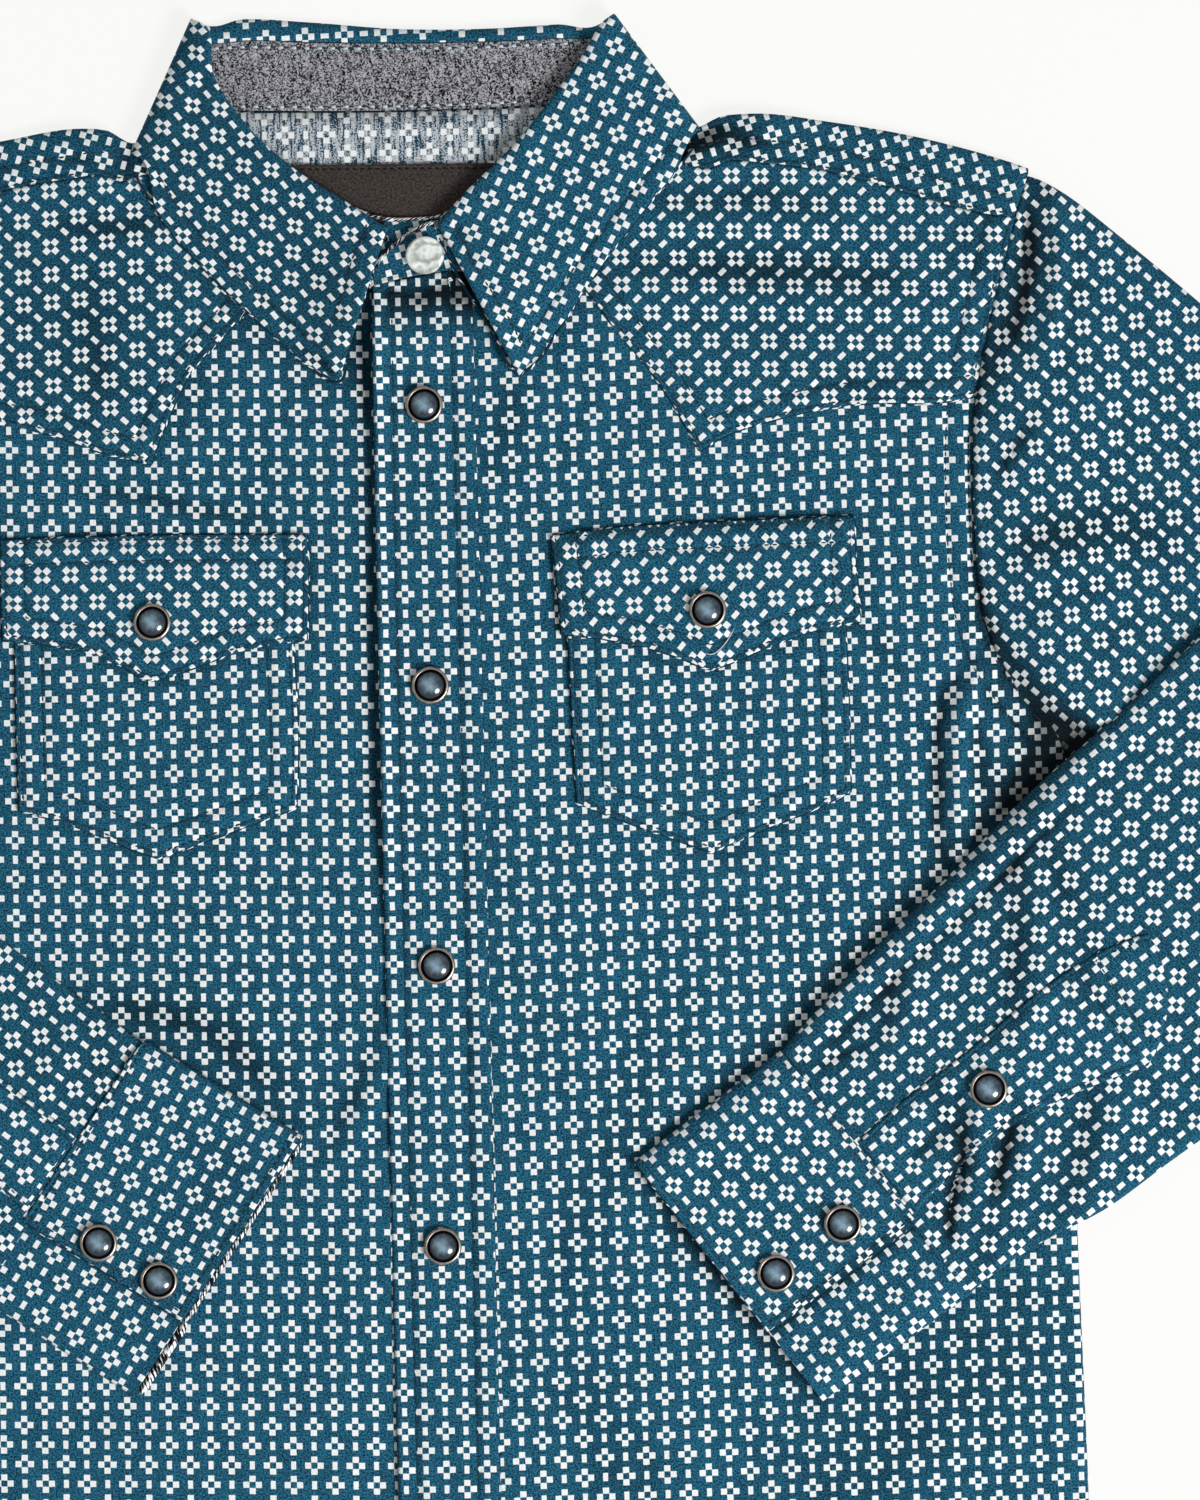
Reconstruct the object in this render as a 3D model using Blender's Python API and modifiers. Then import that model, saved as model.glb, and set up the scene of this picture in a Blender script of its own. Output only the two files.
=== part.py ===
"""A child's long-sleeved western snap shirt, laid flat face up and snapped shut.

The sleeves are folded at the elbow and lie over the front. The shirt lies on the plane z = 0, its neck
towards +Y and the wearer's left at +X. Tables and sizes are in millimetres, and MM turns them into metres.
Each cloth piece is drawn as the middle surface of its cloth and gets its thickness from Solidify. Each
layer lies LAYER above the one under it, and each of two pieces stops SEAM short of the seam they share.
"""

import math

import bmesh
import bpy
import numpy as np

MM = 0.001

# Cloth and how its layers are stacked
CLOTH = 1.0
GAP = 0.3
LAYER = CLOTH + GAP
SEAM = 0.2

# Body
BACK_HEM = -297.0
FRONT_HEM = -289.5
SIDE_HEM = -252.0
HEM_CURVE = 2.4
UNDERARM = 85.0
# Half width of the body at each height, from the shoulder tip down the armhole and the side
SIDE = (
    # y, half width
    (247.0, 179.3),
    (214.0, 169.8),
    (182.0, 162.6),
    (150.0, 161.0),
    (117.0, 163.0),
    (101.0, 169.5),
    (UNDERARM, 181.0),
    (40.0, 183.5),
    (-65.0, 186.5),
    (-140.0, 188.0),
    (SIDE_HEM, 189.0),
)
# Each front's rows: the inner end and the height of the outer end on the armhole. The first six inner ends
# run down the neckline from the forward shoulder seam, and the others down the front edge.
FRONT_ROWS = (
    # inner x, inner y, outer y
    (60.0, 255.6, 233.0),
    (52.0, 247.6, 224.0),
    (42.0, 237.8, 214.0),
    (27.0, 223.8, 198.0),
    (15.0, 216.2, 182.0),
    (None, 214.3, 166.0),
    (None, 192.0, 150.0),
    (None, 160.0, 133.5),
    (None, 130.0, 117.0),
    (None, 106.0, 101.0),
    (None, UNDERARM, UNDERARM),
    (None, 62.0, 62.0),
    (None, 38.0, 38.0),
    (None, 0.0, 0.0),
    (None, -50.0, -50.0),
    (None, -100.0, -100.0),
    (None, -150.0, -150.0),
    (None, -205.0, -205.0),
    (None, SIDE_HEM, SIDE_HEM),
)
FRONT_COLUMNS = (0.0, 0.12, 0.26, 0.4, 0.54, 0.66, 0.75, 0.81, 0.86, 0.92, 1.0)
FRONT_EDGE = {"left": 8.3, "right": 7.7}
# The back's rows: the height at the side and how much of the yoke seam's shape each row follows
BACK_ROWS = (
    # side y, share of the seam's shape
    (150.0 - SEAM, 1.0),
    (133.0, 0.55),
    (117.0, 0.25),
    (101.0, 0.1),
    (UNDERARM, 0.0),
    (35.0, 0.0),
    (-30.0, 0.0),
    (-95.0, 0.0),
    (-150.0, 0.0),
    (-205.0, 0.0),
    (SIDE_HEM, 0.0),
)
# How much of the hem's curve a row near the hem follows
HEM_SHARES = {-150.0: 0.1, -205.0: 0.45, SIDE_HEM: 1.0}
RIGHT_NECK_SPREAD = 1.1

# Yokes: both meet at the forward shoulder seam
YOKES = (
    # back foot x, shoulder line x, y, forward seam x, y, front yoke's pointed edge x, y
    (60.0, 66.0, 269.3, 60.0, 254.6, 37.5, 232.0),
    (68.0, 73.0, 260.0, 68.0, 252.0, 57.5, 202.0),
    (76.0, 79.0, 254.6, 77.0, 250.8, 69.2, 187.0),
    (82.0, 84.5, 257.8, 84.0, 251.2, 80.8, 166.7),
    (87.0, 88.5, 262.0, 89.0, 251.6, 89.0, 171.5),
    (95.0, 98.0, 265.0, 98.0, 251.2, 98.0, 174.0),
    (110.0, 121.0, 262.0, 122.0, 247.4, 122.0, 179.0),
    (136.0, 149.0, 256.5, 148.0, 239.4, 145.0, 179.6),
    (150.0, 170.0, 250.5, 166.0, 234.4, 155.0, 180.4),
    (161.0, 179.0, 247.2, 174.5, 233.3, 162.2, 180.9),
)
BACK_NECK = (
    # back foot x, neck edge x, y
    (0.0, 0.0, 268.2),
    (21.0, 22.0, 268.4),
    (42.0, 44.0, 268.8),
)
# The pointed seam across the back
BACK_YOKE_SEAM = (
    # x, y
    (0.0, 128.0),
    (60.0, 152.0),
    (110.0, 158.0),
    (161.0, 150.0),
)
BACK_COLUMNS = (-161.0, -135.0, -110.0, -85.0, -60.0, -30.0, 0.0, 30.0, 60.0, 85.0, 110.0, 135.0, 161.0)

# Front placket, pockets and flaps
PLACKET_WIDTH = 29.4
PLACKET_HEIGHTS = (214.3, 180.0, 140.0, 95.0, 50.0, 0.0, -50.0, -100.0, -150.0, -200.0, -245.0, FRONT_HEM)
POCKET_CENTRE = 81.0
POCKET_TOP = 144.6
POCKET_TILT = {"left": 2.1, "right": 0.5}
FLAP_WIDTH = 89.4
FLAP_SIDE = 30.0
FLAP_POINT = 41.8
POCKET_WIDTH = 81.4
POCKET_START = 9.0
POCKET_SIDE = 79.8
POCKET_POINT = 95.6

# Sleeves
HALF_SPAN = 282.0
ELBOW_TOP = 158.0
ELBOW_FOOT = 4.0
FOLDED_SLEEVE = 5.2
CUFF_BASE = 3.1
SLEEVE_COLUMNS = (0.012, 0.14, 0.29, 0.43, 0.565, 0.70, 0.75, 0.80, 0.86, 0.93, 0.988)
UPPER_ARM = (
    # outer edge x, y, under edge x, y on the upper layer, then on the lower layer, and the puff
    (179.5, 246.6, 171.3, 99.0, 181.4, 85.0, 1.6),
    (192.0, 239.3, 185.0, 92.5, 190.5, 82.5, 2.4),
    (205.0, 228.5, 198.5, 82.5, 201.5, 76.0, 1.3),
    (228.0, 208.5, 224.0, 60.5, 224.5, 59.5, 1.0),
    (255.0, 183.0, 252.0, 31.5, 252.0, 31.5, 0.6),
)
FOREARM = {
    "left": (
        # upper edge x, y, lower edge x, y, the height of the lower layer, and the puff
        (255.0, 136.0, 259.0, -14.0, 5.0, 1.0),
        (228.0, 111.5, 236.0, -31.0, 4.7, 1.8),
        (199.0, 85.2, 214.0, -46.0, 4.4, 2.2),
        (175.6, 65.0, 195.8, -58.5, 3.9, 2.2),
        (149.8, 40.0, 183.0, -64.5, 3.4, 1.9),
        (123.5, 14.5, 168.5, -73.0, 3.2, 1.5),
        (101.0, -9.6, 155.5, -81.6, CUFF_BASE, 1.3),
    ),
    "right": (
        (255.0, 137.0, 256.0, -10.0, 5.0, 1.0),
        (226.0, 110.0, 232.0, -24.0, 4.7, 1.8),
        (194.0, 83.5, 209.0, -38.0, 4.4, 2.2),
        (165.0, 59.0, 189.0, -50.0, 3.9, 2.2),
        (138.0, 36.5, 171.5, -58.0, 3.4, 1.9),
        (109.5, 14.5, 152.5, -67.5, 3.2, 1.5),
        (87.0, -2.2, 138.2, -75.7, CUFF_BASE, 1.3),
    ),
}
PLEATS = (0.75, 0.86)
PLEAT_HEIGHT = 1.1
PLEAT_ROWS = 2.5
PLACKET_COLUMNS = (0.43, 0.565, 0.70)
PLACKET_ROWS = 4
PLACKET_TIP = 1.35

# Cuffs: the corners at the sleeve seam and at the opening, on the upper and the lower edge
CUFFS = {
    "left": ((100.6, -10.1), (155.1, -82.1), (56.9, -41.8), (110.4, -113.0)),
    "right": ((86.6, -2.6), (137.8, -76.2), (40.6, -32.0), (91.8, -106.9)),
}
CUFF_ROWS = (0.0, 0.35, 0.7, 1.0)
# A cuff in section, from the end that laps over, round the wrist, to the end under it
CUFF_SECTION = (
    # share across the cuff, number of layers above the cuff's base
    (0.71, 2.0),
    (0.57, 2.0),
    (0.4, 2.0),
    (0.2, 2.0),
    (0.03, 2.0),
    (0.0, 1.0),
    (0.03, 0.0),
    (0.25, 0.0),
    (0.5, 0.0),
    (0.75, 0.0),
    (0.985, 0.0),
    (1.0, 0.5),
    (0.985, 1.0),
    (0.8, 1.0),
    (0.48, 1.0),
)

# Collar and its stand, from the wearer's left leaf round the back to the right leaf. The stand runs from
# the neck edge to the joint, and the collar from the joint over the roll and down to its outer edge. A row
# without heights is the crease where both turn under the shoulder.
NECK = (
    # neck edge x, y, joint x, y, roll x, y, outer edge x, y, and the heights of these four
    (8.0, 215.3, 5.6, 231.4, 4.7, 232.9, 28.1, 190.0, 4.6, 4.9, 6.8, 4.7),
    (24.5, 223.3, 15.8, 242.3, 14.0, 244.0, 40.5, 204.5, 4.4, 5.1, 7.0, 4.7),
    (40.0, 237.2, 30.6, 255.8, 28.5, 257.6, 55.0, 224.5, 4.4, 5.3, 7.2, 4.9),
    (51.5, 248.4, 43.5, 271.2, 41.5, 273.2, 68.0, 240.5, 4.5, 5.3, 7.2, 5.5),
    (58.5, 256.5, 52.1, 282.7, 50.0, 284.5, 76.0, 250.3, 4.6, 5.3, 7.2, 6.0),
    (61.5, 262.5, 55.2, 288.2, 55.7, 293.3, 80.7, 259.2, 4.7, 5.3, 7.2, 6.0),
    (63.5, 268.0, 57.3, 290.3, 58.4, 295.2, 82.9, 260.8, None, None, None, None),
    (60.5, 269.8, 55.0, 289.4, 55.7, 293.3, 80.7, 259.2, 1.8, 2.9, 0.5, 0.5),
    (42.0, 269.6, 40.0, 288.9, 41.0, 292.6, 52.0, 253.2, 1.8, 2.9, 0.5, 0.5),
    (18.0, 269.0, 18.0, 288.4, 18.5, 291.8, 24.0, 251.2, 1.8, 2.9, 0.5, 0.5),
    (-5.0, 268.8, -5.0, 288.6, -5.0, 292.3, -5.0, 250.6, 1.8, 2.9, 0.5, 0.5),
    (-32.0, 269.2, -31.0, 289.4, -31.0, 294.8, -36.0, 251.8, 1.8, 2.9, 0.5, 0.5),
    (-52.0, 269.8, -49.0, 290.3, -50.5, 296.2, -62.0, 254.5, 1.8, 2.9, 0.5, 0.5),
    (-66.0, 270.1, -63.5, 290.0, -62.7, 295.1, -81.7, 256.3, 1.8, 2.9, 0.5, 0.5),
    (-69.0, 268.0, -65.5, 290.8, -65.7, 296.5, -84.2, 257.5, None, None, None, None),
    (-68.3, 265.0, -64.0, 289.6, -62.7, 295.1, -81.7, 256.3, 4.7, 5.3, 7.2, 6.0),
    (-66.6, 260.0, -62.5, 278.8, -60.0, 280.5, -77.0, 240.5, 4.6, 5.3, 7.2, 5.6),
    (-59.5, 251.4, -52.1, 262.8, -50.0, 264.5, -64.0, 224.0, 4.5, 5.3, 7.2, 4.9),
    (-46.5, 239.4, -37.7, 249.1, -36.0, 251.3, -48.5, 208.3, 4.2, 5.2, 7.2, 4.7),
    (-30.0, 225.4, -23.3, 239.9, -22.0, 242.0, -36.0, 196.3, 3.8, 4.8, 7.2, 4.7),
    (-12.0, 216.0, -9.4, 231.6, -9.7, 233.8, -24.8, 189.6, 3.1, 3.4, 7.0, 4.7),
)
# The ends of the stand past the collar: the one that laps over and the one under it
STAND_LAP = (
    # neck edge x, y, height, top edge x, y, height
    (-14.6, 215.6, 4.6, -13.2, 221.5, 4.7),
    (-10.0, 215.2, 4.6, -7.0, 229.0, 4.7),
    (0.0, 214.9, 4.6, 2.0, 233.4, 4.8),
)
STAND_UNDERLAP = (
    (-2.0, 214.9, 3.1, -1.0, 236.0, 3.1),
    (13.0, 214.9, 3.1, 8.0, 235.6, 3.1),
)
# How far the stand and the collar each stop from their joint, where they bend
COLLAR_SEAM = 0.4
STAND_SHARES = (0.0, 0.33, 0.67, 1.0)
FALL_SHARES = (0.05, 0.2, 0.4, 0.6, 0.8, 1.0)
FALL_CURVE = 1.3

# How far the collar's hidden back lifts the layers over it, by height and by distance from the centre
LIFT_HEIGHTS = (222.0, 250.5)
LIFT_WIDTHS = (92.0, 128.0)

# The soft fold that stands up from each front below the armhole
FOLD_START = np.array((147.0, 118.0))
FOLD_END = np.array((155.0, 52.0))
FOLD_HALF_WIDTH = 9.0
FOLD_HEIGHT = 1.7

# Label, snaps and button
LABEL_SIDES = (-37.5, 27.5)
LABEL_HEIGHTS = (254.0, 246.3, 238.6)
SNAP_TOP = 182.0
SNAP_PITCH = 82.4
SNAP_COUNT = 6
FLAP_SNAP = 24.7
# Places of the cuff snaps, across the cuff and down from its seam
CUFF_SNAPS = {"left": ((0.57, 0.32), (0.57, 0.77)), "right": ((0.64, 0.40), (0.64, 0.78))}
# Place of the sleeve snap, across the sleeve and up from the section next to the cuff
SLEEVE_SNAP = (0.545, 0.66)
SNAP_SIDES = 14
RING = ((5.5, 0.0), (5.5, 1.3), (5.15, 1.9), (4.65, 1.9), (4.4, 1.3), (4.4, 0.0))
PEARL = ((0.0, 0.3), (4.2, 0.3), (4.2, 1.2), (3.3, 2.2), (1.8, 2.8), (0.0, 3.0))
BUTTON_PLACE = (1.3, 226.0, 5.6)
BUTTON = ((0.0, 0.0), (5.0, 0.0), (5.65, 0.7), (5.65, 1.7), (5.0, 2.3), (3.8, 2.1), (3.2, 1.4), (0.0, 1.4))
BUTTON_SIDES = 20

TEAL = (0.011, 0.098, 0.165)
DARK_TEAL = (0.008, 0.075, 0.13)
CHAMBRAY = (0.16, 0.165, 0.2)
SATIN = (0.02, 0.016, 0.014)
BRONZE = (0.22, 0.18, 0.15)
SMOKY_PEARL = (0.2, 0.3, 0.38)
CLEAR_PEARL = (0.72, 0.72, 0.66)


def level(number):
    """Height of the middle of a layer of cloth, counted up from the back."""
    return CLOTH / 2 + number * LAYER


def along(start, end, share):
    return tuple(a + (b - a) * share for a, b in zip(start, end))


def lift(x, y):
    """How far the collar's back, lying under the yoke, raises what lies over it."""
    up = np.interp(y, LIFT_HEIGHTS, (0.0, 1.0))
    inside = np.interp(abs(x), LIFT_WIDTHS, (1.0, 0.0))
    return LAYER * up * inside


def fold(x, y):
    """Height of the soft fold at a place on a front."""
    run = FOLD_END - FOLD_START
    length = math.hypot(*run)
    offset = np.array((abs(x), y)) - FOLD_START
    share = offset @ run / length**2
    across = (offset[0] * run[1] - offset[1] * run[0]) / length
    if not 0 < share < 1:
        return 0.0
    return FOLD_HEIGHT * math.sin(math.pi * share) * max(0.0, 1 - (across / FOLD_HALF_WIDTH) ** 2)


def side_x(y):
    """Half width of the body at a height."""
    heights, widths = zip(*reversed(SIDE))
    return float(np.interp(y, heights, widths))


def hem_rise(x, lowest, side_y):
    """How far a row drops below its side end to follow the shirttail hem."""
    edge = lowest + (SIDE_HEM - lowest) * min(1.0, abs(x) / side_x(SIDE_HEM)) ** HEM_CURVE
    return HEM_SHARES.get(side_y, 0.0) * (edge - SIDE_HEM)


def yoke_seam_y(x):
    places, heights = zip(*BACK_YOKE_SEAM)
    return float(np.interp(abs(x), places, heights))


def neck_spread(sign, x):
    """The neck lies a little wider to the wearer's right."""
    return float(np.interp(x, (60.0, 100.0), (RIGHT_NECK_SPREAD, 1.0))) if sign < 0 else 1.0


def material(name, colour, roughness, metallic=0.0):
    made = bpy.data.materials.new(name)
    made.use_nodes = True
    shader = made.node_tree.nodes["Principled BSDF"]
    shader.inputs["Base Color"].default_value = (*colour, 1.0)
    shader.inputs["Roughness"].default_value = roughness
    shader.inputs["Metallic"].default_value = metallic
    return made


def cloth(name, points, colour, ring=0):
    """A wall of cloth over middle points {(row, column): (x, y, z)}, closed round if ring is set."""
    mesh = bpy.data.meshes.new(name)
    shape = bmesh.new()
    corners = {place: shape.verts.new([v * MM for v in point]) for place, point in points.items()}
    for row, column in points:
        after = (column + 1) % ring if ring else column + 1
        square = ((row, column), (row, after), (row + 1, after), (row + 1, column))
        if all(place in corners for place in square):
            shape.faces.new([corners[place] for place in square])
    shape.to_mesh(mesh)
    shape.free()
    mesh.shade_smooth()
    piece = bpy.data.objects.new(name, mesh)
    SHIRT.objects.link(piece)
    mesh.materials.append(material(name, colour, 0.85))
    wall = piece.modifiers.new("cloth", "SOLIDIFY")
    wall.thickness = CLOTH * MM
    wall.offset = 0.0


def turned(name, profile, sides, place, colour, roughness, metallic, closed=False):
    """A round piece turned from a profile of (radius, height) pairs about a vertical axis."""
    mesh = bpy.data.meshes.new(name)
    shape = bmesh.new()
    angles = [math.tau * side / sides for side in range(sides)]
    rings = []
    for radius, height in profile:
        if radius == 0:
            rings.append([shape.verts.new((0, 0, height * MM))] * sides)
        else:
            places = [(radius * math.cos(a), radius * math.sin(a), height) for a in angles]
            rings.append([shape.verts.new([v * MM for v in corner]) for corner in places])
    pairs = list(zip(rings, rings[1:])) + ([(rings[-1], rings[0])] if closed else [])
    for low, high in pairs:
        for side in range(sides):
            after = (side + 1) % sides
            corners = dict.fromkeys((low[side], low[after], high[after], high[side]))
            shape.faces.new(list(corners))
    bmesh.ops.recalc_face_normals(shape, faces=shape.faces)
    shape.to_mesh(mesh)
    shape.free()
    mesh.shade_smooth()
    piece = bpy.data.objects.new(name, mesh)
    piece.location = [v * MM for v in place]
    SHIRT.objects.link(piece)
    mesh.materials.append(material(name, colour, roughness, metallic))


def make_back():
    points = {}
    for row, (side_y, seam_share) in enumerate(BACK_ROWS):
        half = side_x(side_y) - SEAM
        for column, seam_x in enumerate(BACK_COLUMNS):
            x = half * seam_x / BACK_COLUMNS[-1]
            y = side_y + hem_rise(x, BACK_HEM, side_y)
            y += seam_share * (yoke_seam_y(x) - BACK_YOKE_SEAM[-1][1])
            points[row, column] = (x, y, level(0))
    cloth("back", points, TEAL)


def make_back_yoke():
    """The yoke lies under the shoulders and wraps over them to the forward seam on the front."""
    turn = LAYER
    points = {}
    columns = [(-1, row) for row in reversed(YOKES)] + [(-1, row) for row in reversed(BACK_NECK)]
    columns += [(1, row) for row in BACK_NECK[1:]] + [(1, row) for row in YOKES]
    for column, (sign, (foot_x, top_x, top_y, *seam)) in enumerate(columns):
        top = (top_x * neck_spread(sign, top_x), top_y - turn if seam else top_y)
        foot = (foot_x, yoke_seam_y(foot_x) + SEAM)
        for row, share in enumerate((0.0, 0.25, 0.5, 0.72, 0.86, 1.0)):
            x, y = along(foot, top, share)
            x = sign * min(x, side_x(y) - SEAM)
            points[row, column] = (x, y, level(0) + lift(x, y))
        if not seam:
            continue
        x, y, z = points[5, column]
        for row, angle in enumerate((60, 120, 180), 6):
            a = math.radians(angle)
            points[row, column] = (x, y + turn * math.sin(a), z + turn - turn * math.cos(a))
        x, y = sign * seam[0] * neck_spread(sign, seam[0]), seam[1] + SEAM
        points[9, column] = (x, y, level(2) + lift(x, y))
    cloth("back_yoke", points, TEAL)


def make_front(side, sign):
    points = {}
    for row, (inner_x, inner_y, outer_y) in enumerate(FRONT_ROWS):
        inner = FRONT_EDGE[side] if inner_x is None else inner_x * neck_spread(sign, inner_x)
        outer = side_x(outer_y) - SEAM
        for column, share in enumerate(FRONT_COLUMNS):
            x, y = along((inner, inner_y), (outer, outer_y), share)
            y += hem_rise(x, FRONT_HEM, outer_y)
            points[row, column] = (sign * x, y, level(1) + lift(x, y) + fold(x, y))
    cloth(side + "_front", points, TEAL)


def make_front_yoke(side, sign):
    points = {}
    for column, (_, _, _, seam_x, seam_y, point_x, point_y) in enumerate(YOKES):
        top = (seam_x * neck_spread(sign, seam_x), seam_y - SEAM)
        foot = (point_x * neck_spread(sign, top[0]), point_y)
        for row, share in enumerate((0.0, 0.2, 0.45, 0.7, 1.0)):
            x, y = along(top, foot, share)
            x = sign * min(x, side_x(y) - SEAM)
            points[row, column] = (x, y, level(2) + lift(x, y))
    cloth(side + "_front_yoke", points, DARK_TEAL)


def make_placket():
    points = {}
    for row, y in enumerate(PLACKET_HEIGHTS):
        for column, across in enumerate((-0.5, 0.0, 0.5)):
            points[row, column] = (PLACKET_WIDTH * across, y, level(2))
    cloth("front_placket", points, TEAL)


def pocket_place(side, sign, x, down):
    """A place on a pocket, from its centre line and the distance down from the flap's top edge."""
    tilt = math.radians(POCKET_TILT[side] * sign)
    across = x * math.cos(tilt) + down * math.sin(tilt)
    height = x * math.sin(tilt) - down * math.cos(tilt)
    return sign * POCKET_CENTRE + across, POCKET_TOP + height


def make_pocket_piece(name, side, sign, width, start, straight, point, number):
    """A pocket or a flap, straight from start down its sides and pointed at its foot."""
    points = {}
    for column, across in enumerate((-0.5, -0.34, -0.17, 0.0, 0.17, 0.34, 0.5)):
        end = point - (point - straight) * abs(2 * across)
        for row, share in enumerate((0.0, 0.35, 0.7, 1.0)):
            x, y = pocket_place(side, sign, width * across, start + (end - start) * share)
            points[row, column] = (x, y, level(number))
    cloth(name, points, TEAL)


def sleeve_sections(side):
    """Each section of a sleeve from the armhole to the cuff.

    A section is (outer edge, under edge of the inner layer, under edge of the outside layer, outside height,
    inner height, puff). The outside layer is the lower one on the upper arm and the upper one past the elbow.
    At the elbow an edge is given as the outside layer's x, the inner layer's x and y.
    """
    sections = []
    for edge_x, edge_y, under_x, under_y, low_x, low_y, puff in UPPER_ARM:
        sections.append(((edge_x, edge_y), (under_x, under_y), (low_x, low_y), level(0), level(1), puff))
    middle_low = (level(0) + level(1)) / 2
    middle_high = FOLDED_SLEEVE + LAYER / 2
    radius = (middle_high - middle_low) / 2
    fold_x = HALF_SPAN - radius - LAYER / 2 - CLOTH / 2
    for angle in (0, 45, 90, 135, 180):
        a = math.radians(angle)
        inner, outer = radius - LAYER / 2, radius + LAYER / 2
        x_in, x_out = fold_x + inner * math.sin(a), fold_x + outer * math.sin(a)
        z_in, z_out = middle_low + radius - inner * math.cos(a), middle_low + radius - outer * math.cos(a)
        sections.append(((x_out, x_in, ELBOW_TOP), None, (x_out, x_in, ELBOW_FOOT), z_out, z_in, 0.0))
    for edge_x, edge_y, under_x, under_y, base, puff in FOREARM[side]:
        under = (under_x, under_y)
        sections.append(((edge_x, edge_y), under, under, base + LAYER, base, puff))
    return sections


def sleeve_point(sections, row, share, outside):
    """A point of a sleeve's outside layer or of its inner layer, at a share of the way across."""
    edge, under, low, z_out, z_in, puff = sections[row]
    z = z_out if outside else z_in
    if under is None:
        return edge[0 if outside else 1], edge[2] + (low[2] - edge[2]) * share, z
    x, y = along(edge, low if outside else under, share)
    if row == 0:
        x = side_x(y) + SEAM
    folded = z_out > z_in
    if outside == folded:
        z += puff * (4 * share * (1 - share)) ** 0.7
    if outside and folded and share in PLEATS:
        z += PLEAT_HEIGHT * max(0.0, 1 - (len(sections) - 1 - row) / PLEAT_ROWS)
    return x, y, z


def make_sleeve(side, sign):
    sections = sleeve_sections(side)
    points = {}
    for row in range(len(sections)):
        inner = [sleeve_point(sections, row, share, False) for share in SLEEVE_COLUMNS]
        outer = [sleeve_point(sections, row, share, True) for share in SLEEVE_COLUMNS]
        edges = [
            along(sleeve_point(sections, row, share, False), sleeve_point(sections, row, share, True), 0.5)
            for share in (0.0, 1.0)
        ]
        loop = [edges[0], *inner, edges[1], *reversed(outer)]
        for column, (x, y, z) in enumerate(loop):
            points[row, column] = (sign * x, y, z)
    cloth(side + "_sleeve", points, TEAL, ring=2 * len(SLEEVE_COLUMNS) + 2)


def make_sleeve_placket(side, sign):
    """The bound slit of the sleeve, running up from the cuff to a point."""
    sections = sleeve_sections(side)
    points = {}
    for row in range(PLACKET_ROWS):
        for column, share in enumerate(PLACKET_COLUMNS):
            x, y, z = sleeve_point(sections, len(sections) - 1 - row, share, True)
            points[row, column] = (sign * x, y, z + LAYER)
    last = PLACKET_ROWS - 1
    points[last, 1] = along(points[last - 1, 1], points[last, 1], PLACKET_TIP)
    cloth(side + "_sleeve_placket", points, TEAL)


def cuff_place(side, across, down):
    """A place on a cuff in plan, across from its upper edge and down from the sleeve seam, for the left."""
    seam_up, seam_low, end_up, end_low = CUFFS[side]
    return along(along(seam_up, seam_low, across), along(end_up, end_low, across), down)


def make_cuff(side, sign):
    points = {}
    for row, down in enumerate(CUFF_ROWS):
        for column, (across, layers) in enumerate(CUFF_SECTION):
            x, y = cuff_place(side, across, down)
            points[row, column] = (sign * x, y, CUFF_BASE + LAYER * layers)
    cloth(side + "_cuff", points, TEAL)


def neck_sections():
    """The stand's and collar's sections as four points each, with each crease turned in a half circle."""
    sections = [[(*row[2 * n : 2 * n + 2], row[8 + n]) for n in range(4)] for row in NECK]
    rounded = []
    for number, section in enumerate(sections):
        if section[0][2] is not None:
            rounded.append(section)
            continue
        before, after = sections[number - 1], sections[number + 1]
        middle = [(x, y, (b[2] + a[2]) / 2) for (x, y, _), b, a in zip(section, before, after)]
        for start in (before, None, after):
            if start is None:
                rounded.append(middle)
            else:
                rounded.append([quarter(point, end) for point, end in zip(start, middle)])
    return rounded


def quarter(flat, crease):
    """The point halfway round the bend from a flat layer to its crease."""
    half = math.sqrt(0.5)
    x, y = along(flat[:2], crease[:2], half)
    return x, y, crease[2] + (flat[2] - crease[2]) * half


def moved(start, end, distance):
    """The start moved by a distance towards the end."""
    return along(start, end, distance / math.dist(start, end))


def make_stand():
    points = {}
    rows = [(row[:3], row[3:]) for row in STAND_LAP]
    rows += [(neck, moved(joint, neck, COLLAR_SEAM)) for neck, joint, _, _ in neck_sections()]
    rows += [(row[:3], row[3:]) for row in STAND_UNDERLAP]
    for row, (neck, top) in enumerate(rows):
        for column, share in enumerate(STAND_SHARES):
            points[row, column] = along(neck, top, share)
    cloth("collar_stand", points, CHAMBRAY)


def make_collar():
    points = {}
    for row, (_, joint, roll, edge) in enumerate(neck_sections()):
        bend = (*roll[:2], (joint[2] + roll[2]) / 2)
        points[row, 0] = moved(joint, bend, COLLAR_SEAM)
        points[row, 1] = bend
        for column, share in enumerate(FALL_SHARES, 2):
            x, y = along(roll[:2], edge[:2], share)
            points[row, column] = (x, y, edge[2] + (roll[2] - edge[2]) * (1 - share) ** FALL_CURVE)
    cloth("collar", points, TEAL)


def make_label():
    points = {}
    for row, y in enumerate(LABEL_HEIGHTS):
        for column, share in enumerate((0.0, 0.33, 0.67, 1.0)):
            x = LABEL_SIDES[0] + (LABEL_SIDES[1] - LABEL_SIDES[0]) * share
            points[row, column] = (x, y, level(1) + lift(x, y))
    cloth("neck_label", points, SATIN)


def make_snap(name, x, y, z):
    turned(name + "_ring", RING, SNAP_SIDES, (x, y, z), BRONZE, 0.35, 1.0, closed=True)
    turned(name + "_pearl", PEARL, SNAP_SIDES, (x, y, z), SMOKY_PEARL, 0.12, 0.0)


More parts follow.
